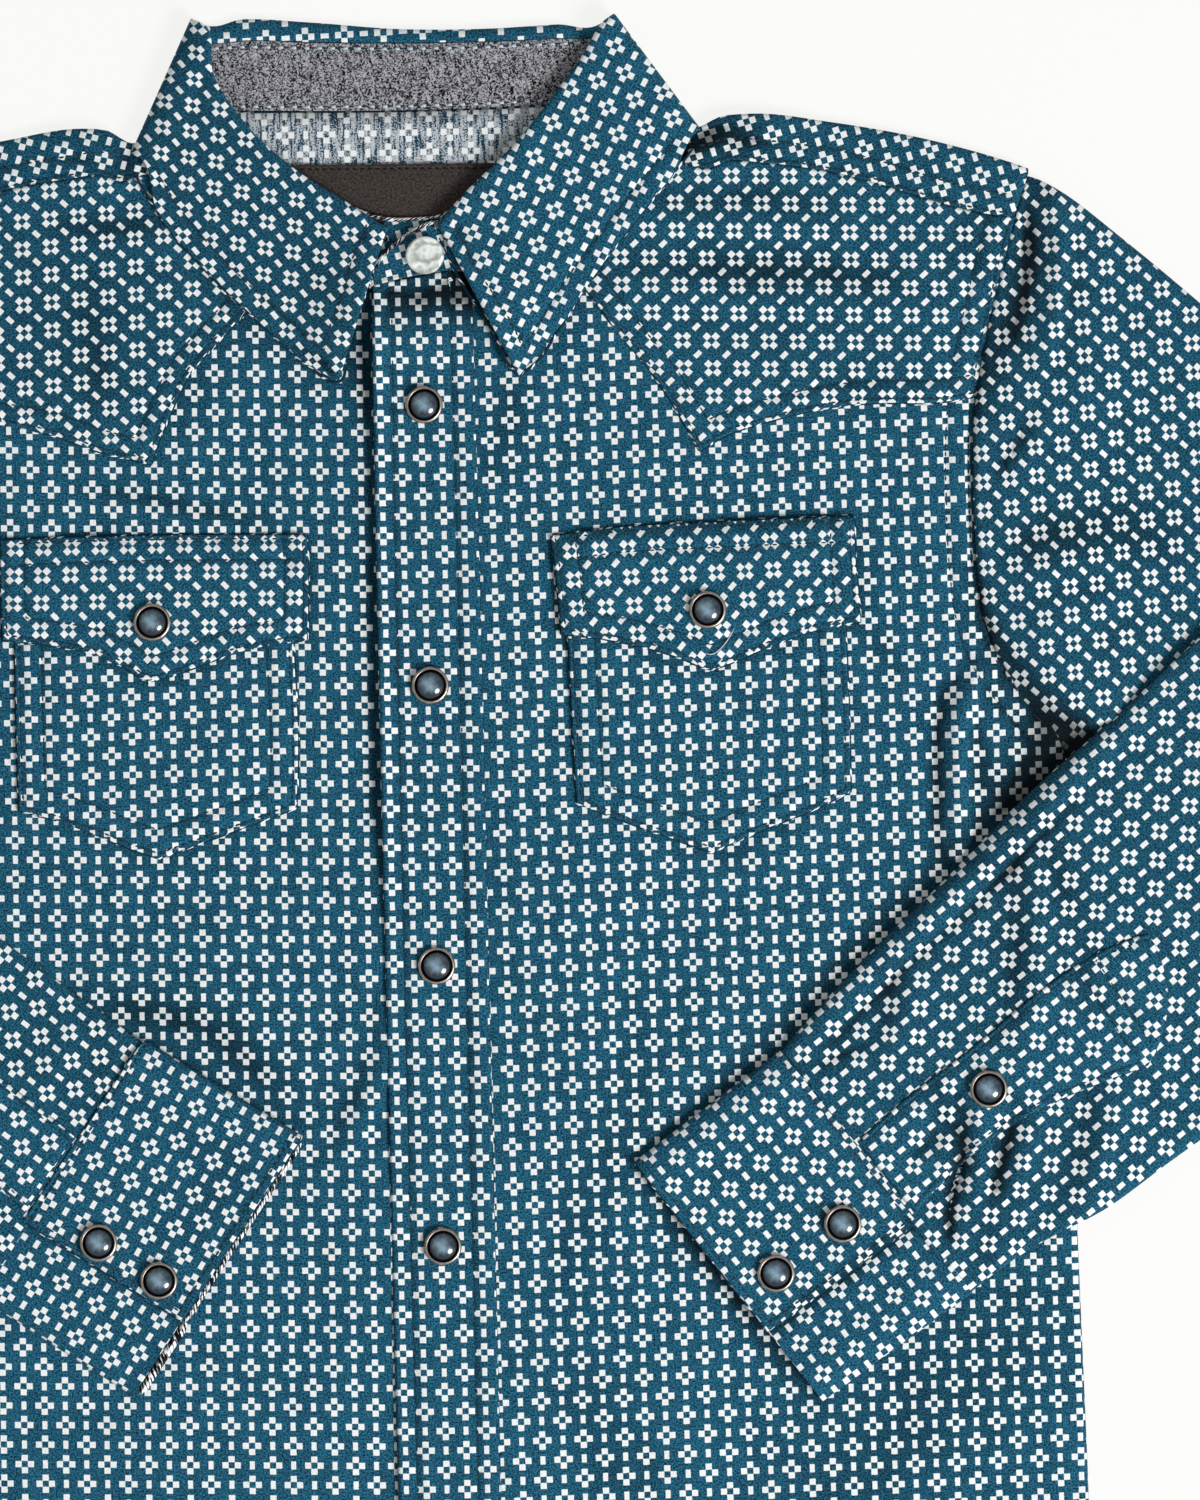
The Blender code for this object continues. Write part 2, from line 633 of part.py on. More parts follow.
def make_snaps():
    above = CLOTH / 2 + GAP
    for number in range(SNAP_COUNT):
        make_snap(f"front_snap_{number + 1}", 0.0, SNAP_TOP - SNAP_PITCH * number, level(2) + above)
    for side, sign in (("left", 1), ("right", -1)):
        x, y = pocket_place(side, sign, 0.0, FLAP_SNAP)
        make_snap(side + "_flap_snap", x, y, level(3) + above)
        for number, (across, down) in enumerate(CUFF_SNAPS[side], 1):
            x, y = cuff_place(side, across, down)
            make_snap(f"{side}_cuff_snap_{number}", sign * x, y, CUFF_BASE + 2 * LAYER + above)
        sections = sleeve_sections(side)
        lower = sleeve_point(sections, len(sections) - 2, SLEEVE_SNAP[0], True)
        upper = sleeve_point(sections, len(sections) - 3, SLEEVE_SNAP[0], True)
        x, y, z = along(lower, upper, SLEEVE_SNAP[1])
        make_snap(side + "_sleeve_snap", sign * x, y, z + LAYER + above + GAP)


for leftover in list(bpy.data.objects):
    bpy.data.objects.remove(leftover, do_unlink=True)
SHIRT = bpy.data.collections.new("western_snap_shirt")
bpy.context.scene.collection.children.link(SHIRT)

make_back()
make_back_yoke()
for wearers_side, direction in (("left", 1), ("right", -1)):
    make_front(wearers_side, direction)
    make_front_yoke(wearers_side, direction)
    pocket = (wearers_side + "_pocket", wearers_side, direction)
    make_pocket_piece(*pocket, POCKET_WIDTH, POCKET_START, POCKET_SIDE, POCKET_POINT, 2)
    flap = (wearers_side + "_pocket_flap", wearers_side, direction)
    make_pocket_piece(*flap, FLAP_WIDTH, 0.0, FLAP_SIDE, FLAP_POINT, 3)
    make_sleeve(wearers_side, direction)
    make_sleeve_placket(wearers_side, direction)
    make_cuff(wearers_side, direction)
make_placket()
make_stand()
make_collar()
make_label()
make_snaps()
turned("collar_button", BUTTON, BUTTON_SIDES, BUTTON_PLACE, CLEAR_PEARL, 0.15, 0.0)
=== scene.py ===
"""A child's western snap shirt in a small geometric print, laid flat face up, its sleeves folded over it.

Lengths are in millimetres, and MM turns them into metres where a mesh is made. The wearer's left lies at +X
and the neck at +Y.
"""

import math

import bpy
import numpy as np
from mathutils import Matrix, Vector, geometry, noise
from mathutils.bvhtree import BVHTree


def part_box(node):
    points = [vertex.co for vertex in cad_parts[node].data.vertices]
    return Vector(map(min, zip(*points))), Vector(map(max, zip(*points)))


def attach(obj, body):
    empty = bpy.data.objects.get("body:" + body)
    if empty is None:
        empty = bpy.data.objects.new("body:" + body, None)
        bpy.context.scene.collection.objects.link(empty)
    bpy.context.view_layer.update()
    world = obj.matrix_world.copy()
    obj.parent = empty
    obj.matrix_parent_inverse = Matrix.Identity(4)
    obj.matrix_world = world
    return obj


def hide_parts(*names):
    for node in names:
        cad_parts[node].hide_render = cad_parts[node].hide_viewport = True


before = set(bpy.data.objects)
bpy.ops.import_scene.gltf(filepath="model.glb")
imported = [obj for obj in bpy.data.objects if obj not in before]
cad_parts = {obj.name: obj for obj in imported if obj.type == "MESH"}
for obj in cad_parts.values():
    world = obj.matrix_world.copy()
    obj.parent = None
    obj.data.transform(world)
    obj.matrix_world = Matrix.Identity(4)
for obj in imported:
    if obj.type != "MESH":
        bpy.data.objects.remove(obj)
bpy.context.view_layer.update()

# ------------------------------------------------------------------------------
# Back. One panel of printed cotton poplin, from the pointed yoke seam to the turned shirttail hem. The
# cloth is dyed teal and printed white with small crosses and bars. It lies face down on the table.

MM = 0.001
THIN_CLOTH = 0.5
LAYER = 1.3
HALF_HEM = 189.0
SIDE_HEM = -252.0
BACK_HEM = -297.0
# Half width of the body at each height, down the armhole and the side
SIDE = (
    (247.5, 179.6),
    (234.0, 175.6),
    (224.0, 172.4),
    (213.3, 169.5),
    (200.4, 166.3),
    (183.0, 162.7),
    (171.0, 161.4),
    (150.0, 161.0),
    (130.8, 161.5),
    (117.0, 163.0),
    (106.3, 166.4),
    (98.8, 170.8),
    (91.6, 176.4),
    (85.0, 181.6),
    (79.0, 184.6),
    (40.0, 185.4),
    (-65.0, 186.5),
    (-140.0, 188.0),
    (SIDE_HEM, HALF_HEM),
)
BACK_YOKE_SEAM = ((0.0, 128.0), (60.0, 152.0), (110.0, 158.0), (161.0, 150.0))
MOTIF = (6.05, 5.75)


def level(number):
    """Height of the middle of a layer of cloth, counted up from the back."""
    return 0.5 + LAYER * number


def side_x(y):
    """Half the width of the body at a height."""
    heights, widths = zip(*reversed(SIDE))
    return np.interp(y, heights, widths)


def hem_line(lowest, start_x, end_x):
    """The curve of a shirttail hem between two places across the body."""
    x = np.linspace(start_x, end_x, 41)
    y = lowest + (SIDE_HEM - lowest) * np.minimum(1.0, abs(x) / HALF_HEM) ** 2.4
    return np.column_stack((x, y))


def eased(points, step):
    """A line bent smoothly through points and stepped evenly."""
    p = np.array(points, float)
    run = np.r_[0, np.linalg.norm(np.diff(p, axis=0), axis=1).cumsum()]
    if len(p) > 2:
        slope = np.diff(p, axis=0) / np.diff(run)[:, None]
        before, after = np.diff(run)[:-1, None], np.diff(run)[1:, None]
        bend = (slope[:-1] * after + slope[1:] * before) / (before + after)
        tangent = np.vstack((2 * slope[0] - bend[0], bend, 2 * slope[-1] - bend[-1]))
        fine = []
        for k, gap in enumerate(np.diff(run)):
            t = np.linspace(0, 1, 16, endpoint=False)[:, None]
            fine.append(
                p[k] * (2 * t**3 - 3 * t**2 + 1)
                + p[k + 1] * (3 * t**2 - 2 * t**3)
                + gap * (tangent[k] * (t**3 - 2 * t**2 + t) + tangent[k + 1] * (t**3 - t**2))
            )
        p = np.vstack((*fine, p[-1:]))
        run = np.r_[0, np.linalg.norm(np.diff(p, axis=0), axis=1).cumsum()]
    marks = np.linspace(0, run[-1], max(2, round(run[-1] / step) + 1))
    return np.column_stack([np.interp(marks, run, p[:, k]) for k in range(p.shape[1])])


def chained(edges, step):
    """A pattern piece's outline from its edges, each of which starts where the one before it ends."""
    return np.vstack([eased(edge, step)[:-1] for edge in edges])


def mirrored(edges):
    """Edges of the wearer's left turned into those of the right, still running the same way round."""
    return [[(-x, y) for x, y in reversed(edge)] for edge in reversed(edges)]


def from_line(places, line, reach=400.0):
    """How far each place within reach lies from a line, and how far along it its nearest point is."""
    away = np.full(len(places), 1000.0)
    along = np.zeros(len(places))
    near = np.flatnonzero(((places > line.min(0) - reach) & (places < line.max(0) + reach)).all(1))
    step = line[1:] - line[:-1]
    long = (step**2).sum(1)
    start = np.r_[0, np.sqrt(long).cumsum()]
    for some in np.array_split(near, 1 + len(near) * len(step) // 2000000):
        gap = places[some][:, None] - line[:-1]
        share = np.clip((gap * step).sum(2) / long, 0, 1)
        apart = np.linalg.norm(gap - share[..., None] * step, axis=2)
        best = apart.argmin(1)
        rows = np.arange(len(some))
        away[some] = apart[rows, best]
        along[some] = start[best] + share[rows, best] * np.sqrt(long[best])
    return away, along


def beside(line, distance, closed=False):
    """A line that runs beside another one, to its left, its corners mitred."""
    wrapped = np.vstack((line[-1:], line, line[:1])) if closed else np.vstack((line[:1], line, line[-1:]))
    step = np.diff(wrapped, axis=0)
    if not closed:
        step[0], step[-1] = step[1], step[-2]
    step /= np.linalg.norm(step, axis=1)[:, None]
    left = np.column_stack((-step[:, 1], step[:, 0]))
    middle = left[:-1] + left[1:]
    middle /= np.maximum(0.3, (middle * left[:-1]).sum(1))[:, None]
    moved = line + distance * middle
    full = np.vstack((line, line[:1])) if closed else line
    away, _ = from_line(moved, full, 2 * abs(distance) + 2)
    return moved[away > 0.97 * abs(distance)]


def pattern_piece(edges, spacing, sewing=(), rim=(0.3, 0.8, 1.5)):
    """A panel in plan, in triangles: points along its outline, its rim and its sewing and over its field."""
    loop = chained(edges, 0.8 * spacing)
    fine, coarse = 0.45, 0.62 * spacing
    kept, order = {}, []

    def keep(points, apart):
        """Keeps each point that has no kept point nearer to it than apart."""
        for x, y in points:
            cell = (int(x // apart), int(y // apart))
            around = [(cell[0] + a, cell[1] + b) for a in (-1, 0, 1) for b in (-1, 0, 1)]
            close = (other for place in around for other in kept.get((apart, place), ()))
            if all((x - u) ** 2 + (y - v) ** 2 > apart**2 for u, v in close):
                for size in (fine, coarse):
                    kept.setdefault((size, (int(x // size), int(y // size))), []).append((x, y))
                order.append((x, y))

    keep(loop, fine)
    count = len(order)
    for depth in rim:
        keep(beside(loop, depth, closed=True), fine)
    for line in sewing:
        for offset in (0.0, -0.7, 0.7):
            keep(beside(line, offset) if offset else line, fine)
    low, high = loop.min(0), loop.max(0)
    rows = np.arange(low[1], high[1], 0.866 * spacing)
    field = np.array(
        [
            (x, y)
            for number, y in enumerate(rows)
            for x in np.arange(low[0] + (number % 2) * spacing / 2, high[0], spacing)
        ]
    )
    closed_loop = np.vstack((loop, loop[:1]))
    away, _ = from_line(field, closed_loop)
    keep(field[away > rim[-1] + 0.4 * spacing], coarse)
    rim_edges = [(k, (k + 1) % count) for k in range(count)]
    made = geometry.delaunay_2d_cdt([Vector(p) for p in order], rim_edges, [], 1, 1e-5)
    return np.array([tuple(v) for v in made[0]]), [tuple(f) for f in made[2]], closed_loop


def sewn(places, line, seed, sink=0.6, pucker=0.36):
    """How the cloth sinks under a line of stitches and puckers beside it."""
    away, along = from_line(places, line, 9)
    wave = np.sin(0.93 * along + 2.2 * np.sin(0.21 * along + seed) + seed)
    wave *= 0.6 + 0.4 * np.sin(0.17 * along + 2.3 * seed)
    beside_it = np.exp(-((away / 2.6) ** 2)) * (1 - 0.5 * np.exp(-((away / 0.8) ** 2)))
    return -sink * np.exp(-((away / 0.7) ** 2)) + pucker * wave * beside_it


def creased(places, creases):
    """Soft ridges and troughs: each is a line, its width, and its height in the middle of its length."""
    height = np.zeros(len(places))
    for points, width, high in creases:
        line = eased(points, 3.0)
        away, along = from_line(places, line, 3 * width)
        full = np.linalg.norm(np.diff(line, axis=0), axis=1).sum()
        taper = np.sin(math.pi * np.clip(along / full, 0, 1)) ** 0.6
        height += high * taper * np.exp(-((away / width) ** 2))
    return height


def rumpled(places, seed, size=0.16):
    """The slow unevenness of cloth that was pressed and then handled."""
    return size * np.array(
        [
            1.7 * noise.noise((x / 34, y / 41, seed))
            + 0.6 * noise.noise((x / 13, y / 15, seed + 7))
            + 0.35 * noise.noise((x / 5.5, y / 6.5, seed + 13))
            for x, y, *_ in places
        ]
    )


def printed(places, centre, weft, warp, motif=MOTIF):
    """Where each place falls in the printed pattern, in motifs across and along the grain from one cross."""
    weft, warp = math.radians(weft), math.radians(warp)
    across = motif[0] * np.array((math.cos(weft), math.sin(weft)))
    along = motif[1] * np.array((-math.sin(warp), math.cos(warp)))
    return (places[:, :2] - centre) @ np.linalg.inv(np.column_stack((across, along))).T


def hollow_shade(points, edges):
    """How far each place lies below the cloth round it, from 0 to 1: the shade that is painted into its
    hollows.
    """
    z = points[:, 2]
    count = np.maximum(1, np.bincount(edges.ravel(), minlength=len(z)))
    start, end = edges.T
    around = z.copy()
    for _ in range(10):
        total = np.bincount(start, around[end], len(z)) + np.bincount(end, around[start], len(z))
        around = 0.3 * around + 0.7 * total / count
    return np.clip((around - z - 0.03) / 0.55, 0, 1)


def make_mesh(name, points, faces, print_at, materials, thickness=THIN_CLOTH, depth=0.0):
    """A piece of cloth from its points in millimetres, its faces and its places in the print, with painted
    shade from its hollows and from depth.
    """
    mesh = bpy.data.meshes.new(name)
    points = np.array(points, float)
    points[:, 2] = np.maximum(points[:, 2], 0.1 + thickness / 2)
    mesh.from_pydata((points * MM).tolist(), [], faces)
    if thickness:
        # Painted shade: darker in the cloth's hollows and along the given strokes, kept in a point attribute
        # that the finish darkens its colour by
        edges = np.zeros(2 * len(mesh.edges), np.int32)
        mesh.edges.foreach_get("vertices", edges)
        depth = np.clip(0.55 * hollow_shade(points, edges.reshape(-1, 2)) + depth, 0, 0.93)
        mesh.attributes.new("depth", "FLOAT", "POINT").data.foreach_set("value", depth.astype(np.float32))
    for finish in materials:
        mesh.materials.append(finish)
    corner = np.zeros(len(mesh.loops), np.int32)
    mesh.loops.foreach_get("vertex_index", corner)
    prints = np.asarray(print_at)[corner].astype(np.float32)
    mesh.uv_layers.new(name="print").data.foreach_set("uv", prints.ravel())
    mesh.shade_smooth()
    piece = bpy.data.objects.new(name, mesh)
    bpy.context.scene.collection.objects.link(piece)
    if thickness:
        wall = piece.modifiers.new("cloth", "SOLIDIFY")
        wall.thickness = thickness * MM
        wall.offset = 0.0
        wall.material_offset = len(materials) - 1
    return piece


def laid_panel(
    name, edges, lay, print_at, materials,
    spacing=2.0, sewing=(), roll=0.3, thickness=0.8, face_up=True, painted_shade=(),
):
    """A flat panel cut to its outline and laid at the height that lay gives, its turned edge rolled down,
    with painted shade along its strokes.
    """
    plan, faces, outline = pattern_piece(edges, spacing, sewing)
    away, _ = from_line(plan, outline)
    z = lay(plan) - roll * (1 - np.clip(away / 0.9, 0, 1)) ** 2
    for seed, line in enumerate(sewing):
        z += sewn(plan, line, 1.7 * seed + len(name))
    if not face_up:
        faces = [face[::-1] for face in faces]
    x, y = outline[:-1].T
    area = abs((x * np.roll(y, -1) - y * np.roll(x, -1)).sum()) / 2
    points = np.column_stack((plan, z))
    piece = make_mesh(name, points, faces, print_at(plan), materials, thickness, creased(plan, painted_shade))
    return piece, area * MM**2


def maths(tree, operation, *values):
    """One sum on numbers or sockets, in a material."""
    node = tree.nodes.new("ShaderNodeMath")
    node.operation = operation
    for socket, value in zip(node.inputs, values):
        if isinstance(value, (int, float)):
            socket.default_value = value
        else:
            tree.links.new(value, socket)
    return node.outputs[0]


def plus(tree, first, second):
    return maths(tree, "ADD", first, second)


def minus(tree, first, second):
    return maths(tree, "SUBTRACT", first, second)


def times(tree, first, second):
    return maths(tree, "MULTIPLY", first, second)


def place_maths(tree, operation, place, other=(0.0, 0.0, 0.0)):
    """One sum on a place, in a material, which gives another place or a length."""
    node = tree.nodes.new("ShaderNodeVectorMath")
    node.operation = operation
    node.inputs[1].default_value = other
    tree.links.new(place, node.inputs[0])
    return node.outputs["Value" if operation in ("LENGTH", "DISTANCE") else "Vector"]


def ranged(tree, value, low, high):
    """A value spread out so that low becomes 0 and high becomes 1."""
    node = tree.nodes.new("ShaderNodeMapRange")
    node.inputs["From Min"].default_value = low
    node.inputs["From Max"].default_value = high
    tree.links.new(value, node.inputs["Value"])
    return node.outputs[0]


def speckle(tree, place, scale, detail=2.0, rough=0.5):
    """Soft cloudy noise, finer with a larger scale."""
    node = tree.nodes.new("ShaderNodeTexNoise")
    node.inputs["Scale"].default_value = scale
    node.inputs["Detail"].default_value = detail
    node.inputs["Roughness"].default_value = rough
    tree.links.new(place, node.inputs["Vector"])
    return node.outputs[0]


def blended(tree, share, low, high):
    """One colour turned into another by a share, each a colour or a socket."""
    node = tree.nodes.new("ShaderNodeMix")
    node.data_type = "RGBA"
    sockets = [s for s in node.inputs if s.enabled]
    for socket, value in zip(sockets, (share, low, high)):
        if isinstance(value, tuple):
            socket.default_value = (*value, 1.0)
        elif isinstance(value, (int, float)):
            socket.default_value = value
        else:
            tree.links.new(value, socket)
    return next(s for s in node.outputs if s.enabled)


def new_finish(name, roughness, sheen=0.0):
    """A new material with little gloss: the material, its nodes and its shader."""
    made = bpy.data.materials.new(name)
    made.use_nodes = True
    shader = made.node_tree.nodes["Principled BSDF"]
    shader.inputs["Roughness"].default_value = roughness
    shader.inputs["Sheen Weight"].default_value = sheen
    shader.inputs["Specular IOR Level"].default_value = 0.1
    return made, made.node_tree, shader


def mapped(tree):
    """Each point's place in its piece's own map: in motifs on cloth, and in radii on a turned piece."""
    node = tree.nodes.new("ShaderNodeUVMap")
    node.uv_map = "print"
    return node.outputs[0]


def cloth_grain(tree):
    """Each point's spot on the cloth before it was cut, first in motifs and then in millimetres."""
    motifs = mapped(tree)
    return motifs, place_maths(tree, "MULTIPLY", motifs, (*MOTIF, 1.0))


def split(tree, vector):
    """A place in a material as its two shares, across and along."""
    node = tree.nodes.new("ShaderNodeSeparateXYZ")
    tree.links.new(vector, node.inputs[0])
    return node.outputs[0], node.outputs[1]


def motif_mask(tree, motifs, spot, bleed=0.11):
    """1 on the printed crosses and bars and 0 between them, their edges a little uneven where ink bled."""
    u, v = split(tree, motifs)
    column, row = maths(tree, "ROUND", u), maths(tree, "ROUND", v)
    wobble = minus(tree, speckle(tree, spot, 1.5), 0.5)
    x = maths(tree, "ABSOLUTE", times(tree, minus(tree, u, column), MOTIF[0]))
    y = maths(tree, "ABSOLUTE", times(tree, minus(tree, v, row), MOTIF[1]))
    x = plus(tree, x, times(tree, wobble, bleed * 2))
    y = minus(tree, y, times(tree, wobble, bleed * 2))
    wide, narrow = maths(tree, "MAXIMUM", x, y), maths(tree, "MINIMUM", x, y)

    def under(value, limit):
        """1 where a value is under a limit, fading to 0 over the width of the bleed."""
        gap = times(tree, minus(tree, limit, value), 1 / bleed)
        node = plus(tree, gap, 0.5)
        node.node.use_clamp = True
        return node

    # half the width of a cross's arm
    arm = 0.91
    cross = times(tree, under(narrow, arm), under(wide, 3 * arm - 0.03))
    cross = times(tree, cross, minus(tree, 1.0, under(wide, arm)))
    bar = times(tree, under(x, 0.72), under(y, 1.2))
    odd = maths(tree, "PINGPONG", plus(tree, column, row), 1.0)
    even = minus(tree, 1.0, odd)
    return plus(tree, times(tree, cross, even), times(tree, bar, odd))


def weave(tree, spot, shader, strength, pitch=0.42):
    """The over and under of the threads, as fine relief."""
    x, y = split(tree, spot)
    turn = 2 * math.pi / pitch
    warp = maths(tree, "SINE", times(tree, x, turn))
    weft = maths(tree, "SINE", times(tree, y, turn))
    threads = times(tree, warp, weft)
    height = plus(tree, threads, times(tree, speckle(tree, spot, 2.2), 2.5))
    bump = tree.nodes.new("ShaderNodeBump")
    bump.inputs["Strength"].default_value = strength
    bump.inputs["Distance"].default_value = 0.00012
    tree.links.new(height, bump.inputs["Height"])
    tree.links.new(bump.outputs[0], shader.inputs["Normal"])


def shaded(tree, colour, power=1.0):
    """A colour darkened by the painted shade in each point's depth attribute; a high power darkens it only
    where that painted shade is strongest.
    """
    place = tree.nodes.new("ShaderNodeAttribute")
    place.attribute_name = "depth"
    dim = tree.nodes.new("ShaderNodeVectorMath")
    dim.operation = "SCALE"
    tree.links.new(colour, dim.inputs[0])
    dark = maths(tree, "POWER", place.outputs["Fac"], power)
    tree.links.new(minus(tree, 1.0, dark), dim.inputs["Scale"])
    return dim.outputs[0]


def printed_cotton(name, dark, light, white):
    """The cloth's face: teal threads, darker and lighter, with white ink that covers them nearly evenly;
    painted shade darkens the teal, and the ink only where that shade is strongest.
    """
    made, tree, shader = new_finish(name, 0.88, sheen=0.03)
    motifs, spot = cloth_grain(tree)
    threads = times(tree, speckle(tree, spot, 1.9, 2.0, 0.8), 0.92)
    clouds = times(tree, speckle(tree, spot, 0.13), 0.08)
    heather = ranged(tree, plus(tree, threads, clouds), 0.41, 0.61)
    teal = blended(tree, heather, dark, light)
    ink = blended(tree, heather, tuple(0.86 * c for c in white), white)
    colour = blended(tree, motif_mask(tree, motifs, spot), shaded(tree, teal), shaded(tree, ink, 4.0))
    tree.links.new(colour, shader.inputs["Base Color"])
    weave(tree, spot, shader, 0.5)
    return made


def reverse_of_print(name, ground, teal):
    """The cloth's inside, where the dye shows through thinly and the crosses stay pale, darkened by the same
    painted shade.
    """
    made, tree, shader = new_finish(name, 0.9, sheen=0.03)
    motifs, spot = cloth_grain(tree)
    long_spot = place_maths(tree, "MULTIPLY", spot, (1.0, 0.13, 1.0))
    grains = times(tree, speckle(tree, spot, 2.0, 1.0), 0.5)
    slubs = times(tree, speckle(tree, long_spot, 1.1, 1.0), 0.5)
    cloth = blended(tree, ranged(tree, plus(tree, grains, slubs), 0.45, 0.56), ground, teal)
    colour = blended(tree, motif_mask(tree, motifs, spot, 0.2), cloth, (0.88, 0.90, 0.90))
    tree.links.new(shaded(tree, colour), shader.inputs["Base Color"])
    weave(tree, spot, shader, 0.6)
    return made


PRINT = printed_cotton("teal_print", (0.0002, 0.0115, 0.032), (0.026, 0.182, 0.292), (0.87, 0.91, 0.91))
REVERSE = reverse_of_print("print_reverse", (0.55, 0.60, 0.64), (0.004, 0.045, 0.080))

HEM_ALLOWANCE = 6.0
side_line = [(x, y) for y, x in reversed(SIDE) if y <= 150.0]
seam_line = [(x, y) for x, y in reversed(BACK_YOKE_SEAM)]
back_edges = [
    hem_line(BACK_HEM, -HALF_HEM, HALF_HEM),
    side_line,
    seam_line,
    *mirrored([seam_line]),
    *mirrored([side_line]),
]
hem_sewing = beside(eased(hem_line(BACK_HEM, 1 - HALF_HEM, HALF_HEM - 1), 2.4), HEM_ALLOWANCE)
back, cut_area = laid_panel(
    "back_panel",
    back_edges,
    lambda p: level(0) + rumpled(p, 3.0, 0.12),
    lambda p: printed(p, (2.0, 40.0), 0.0, 0.0),
    [PRINT, REVERSE],
    spacing=4.4,
    sewing=[hem_sewing],
    roll=-0.2,
    face_up=False,
)
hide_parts("back")
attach(back, "root")

# ------------------------------------------------------------------------------
# Back yoke. One panel that lies under the shoulders and wraps forward over them to a seam on the front. Its
# inside shows at the neck, where the dye comes through only as flecks.

# Back foot x, shoulder line x, y, forward seam x, y
YOKE_RIBS = (
    (60.0, 66.0, 269.3, 60.0, 254.6),
    (68.0, 73.0, 262.6, 68.0, 252.0),
    (76.0, 79.0, 260.6, 77.0, 251.4),
    (82.0, 84.5, 262.4, 85.0, 249.6),
    (87.0, 88.5, 264.4, 91.0, 251.8),
    (95.0, 98.0, 265.2, 99.0, 251.2),
    (110.0, 121.0, 262.3, 122.0, 247.6),
    (123.0, 136.0, 259.6, 135.5, 243.9),
    (136.0, 149.0, 256.7, 148.0, 239.6),
    (150.0, 170.0, 250.6, 166.0, 234.6),
    (161.0, 179.0, 247.3, 174.5, 233.4),
)
BACK_NECK = ((0.0, 0.0, 268.2), (21.0, 22.0, 268.4), (42.0, 44.0, 268.8))
SHOULDER_TURN = LAYER
# From here out the yoke wraps over the shoulder
SHOULDER_START = 64.0
# Points of a rib from the yoke's foot to the shoulder, round the turn, and on to the forward seam
FOOT_POINTS, TURN_POINTS, SEAM_POINTS = 30, 7, 11


def lift(x, y):
    """How far the collar's back, lying under the yoke, raises what lies over it."""
    return LAYER * np.interp(y, (222.0, 250.5), (0.0, 1.0)) * np.interp(abs(x), (92.0, 128.0), (1.0, 0.0))


def neck_spread(sign, x):
    """The neck lies a little wider to the wearer's right."""
    return float(np.interp(x, (60.0, 100.0), (1.1, 1.0))) if sign < 0 else 1.0


def refined(ribs, step):
    """More ribs between a few, each rib being the same number of points, along smooth lines."""
    ribs = np.asarray(ribs, float)
    run = np.r_[0, np.linalg.norm(np.diff(ribs, axis=0), axis=2).mean(1).cumsum()]
    gap = np.diff(run)
    slope = np.diff(ribs, axis=0) / gap[:, None, None]
    before, after = gap[:-1, None, None], gap[1:, None, None]
    bend = (slope[:-1] * after + slope[1:] * before) / (before + after)
    tangent = np.concatenate(([2 * slope[0] - bend[0]], bend, [2 * slope[-1] - bend[-1]]))
    made = []
    for k, length in enumerate(gap):
        count = max(2, round(length / step))
        for t in np.linspace(0, 1, count, endpoint=False):
            made.append(
                ribs[k] * (2 * t**3 - 3 * t**2 + 1)
                + ribs[k + 1] * (3 * t**2 - 2 * t**3)
                + length * (tangent[k] * (t**3 - 2 * t**2 + t) + tangent[k + 1] * (t**3 - t**2))
            )
    return np.array([*made, ribs[-1]])


def woven_faces(rows, columns, ring=False):
    """The squares of a grid of rows and columns, closed round if it is a ring."""
    faces = []
    for low in range(0, (rows - 1) * columns, columns):
        high = low + columns
        for c in range(columns if ring else columns - 1):
            after = (c + 1) % columns
            faces.append((low + c, low + after, high + after, high + c))
    return faces


def reprinted(piece, chosen, print_at):
    """Gives some faces of a piece another place in the print."""
    prints = piece.data.uv_layers["print"].data
    for face in piece.data.polygons:
        if chosen[face.index]:
            for loop in face.loop_indices:
                prints[loop].uv = print_at[piece.data.loops[loop].vertex_index]


yoke_ribs = []
for sign in (-1, 1):
    side_ribs = []
    for foot_x, top_x, top_y in BACK_NECK[::-1] if sign < 0 else BACK_NECK[1:]:
        side_ribs.append((foot_x, top_x, top_y, top_x, top_y))
    wrapped = [
        (foot_x, x * neck_spread(sign, x), y - SHOULDER_TURN, seam_x * neck_spread(sign, seam_x), seam_y)
        for foot_x, x, y, seam_x, seam_y in YOKE_RIBS
    ]
    side_ribs = [*reversed(wrapped), *side_ribs] if sign < 0 else [*side_ribs, *wrapped]
    for foot_x, top_x, top_y, seam_x, seam_y in side_ribs:
        foot = np.interp(foot_x, *zip(*BACK_YOKE_SEAM))
        yoke_ribs.append(((sign * foot_x, foot), (sign * top_x, top_y), (sign * seam_x, seam_y)))
yoke_ribs = refined(yoke_ribs, 3.0)
yoke_points = []
wraps = abs(yoke_ribs[:, 1, 0]) > SHOULDER_START
for foot, top, seam in yoke_ribs:
    for share in np.linspace(0, 1, FOOT_POINTS):
        x, y = foot + (top - foot) * share
        x = float(np.clip(x, -side_x(y), side_x(y)))
        yoke_points.append((x, y, level(0) + lift(x, y)))
    x, y, z = yoke_points[-1]
    for angle in np.linspace(0, math.pi, TURN_POINTS + 1)[1:]:
        out, up = SHOULDER_TURN * math.sin(angle), SHOULDER_TURN * (1 - math.cos(angle))
        yoke_points.append((x, y + out, z + up))
    for share in np.linspace(0, 1, SEAM_POINTS + 1)[1:]:
        u, v = (x, y) + (seam - (x, y)) * share
        yoke_points.append((u, v, level(2) + lift(u, v)))
yoke_points = np.array(yoke_points)
yoke_columns = FOOT_POINTS + TURN_POINTS + SEAM_POINTS
flat_part = np.tile(np.arange(yoke_columns), len(yoke_ribs)) < FOOT_POINTS + 3
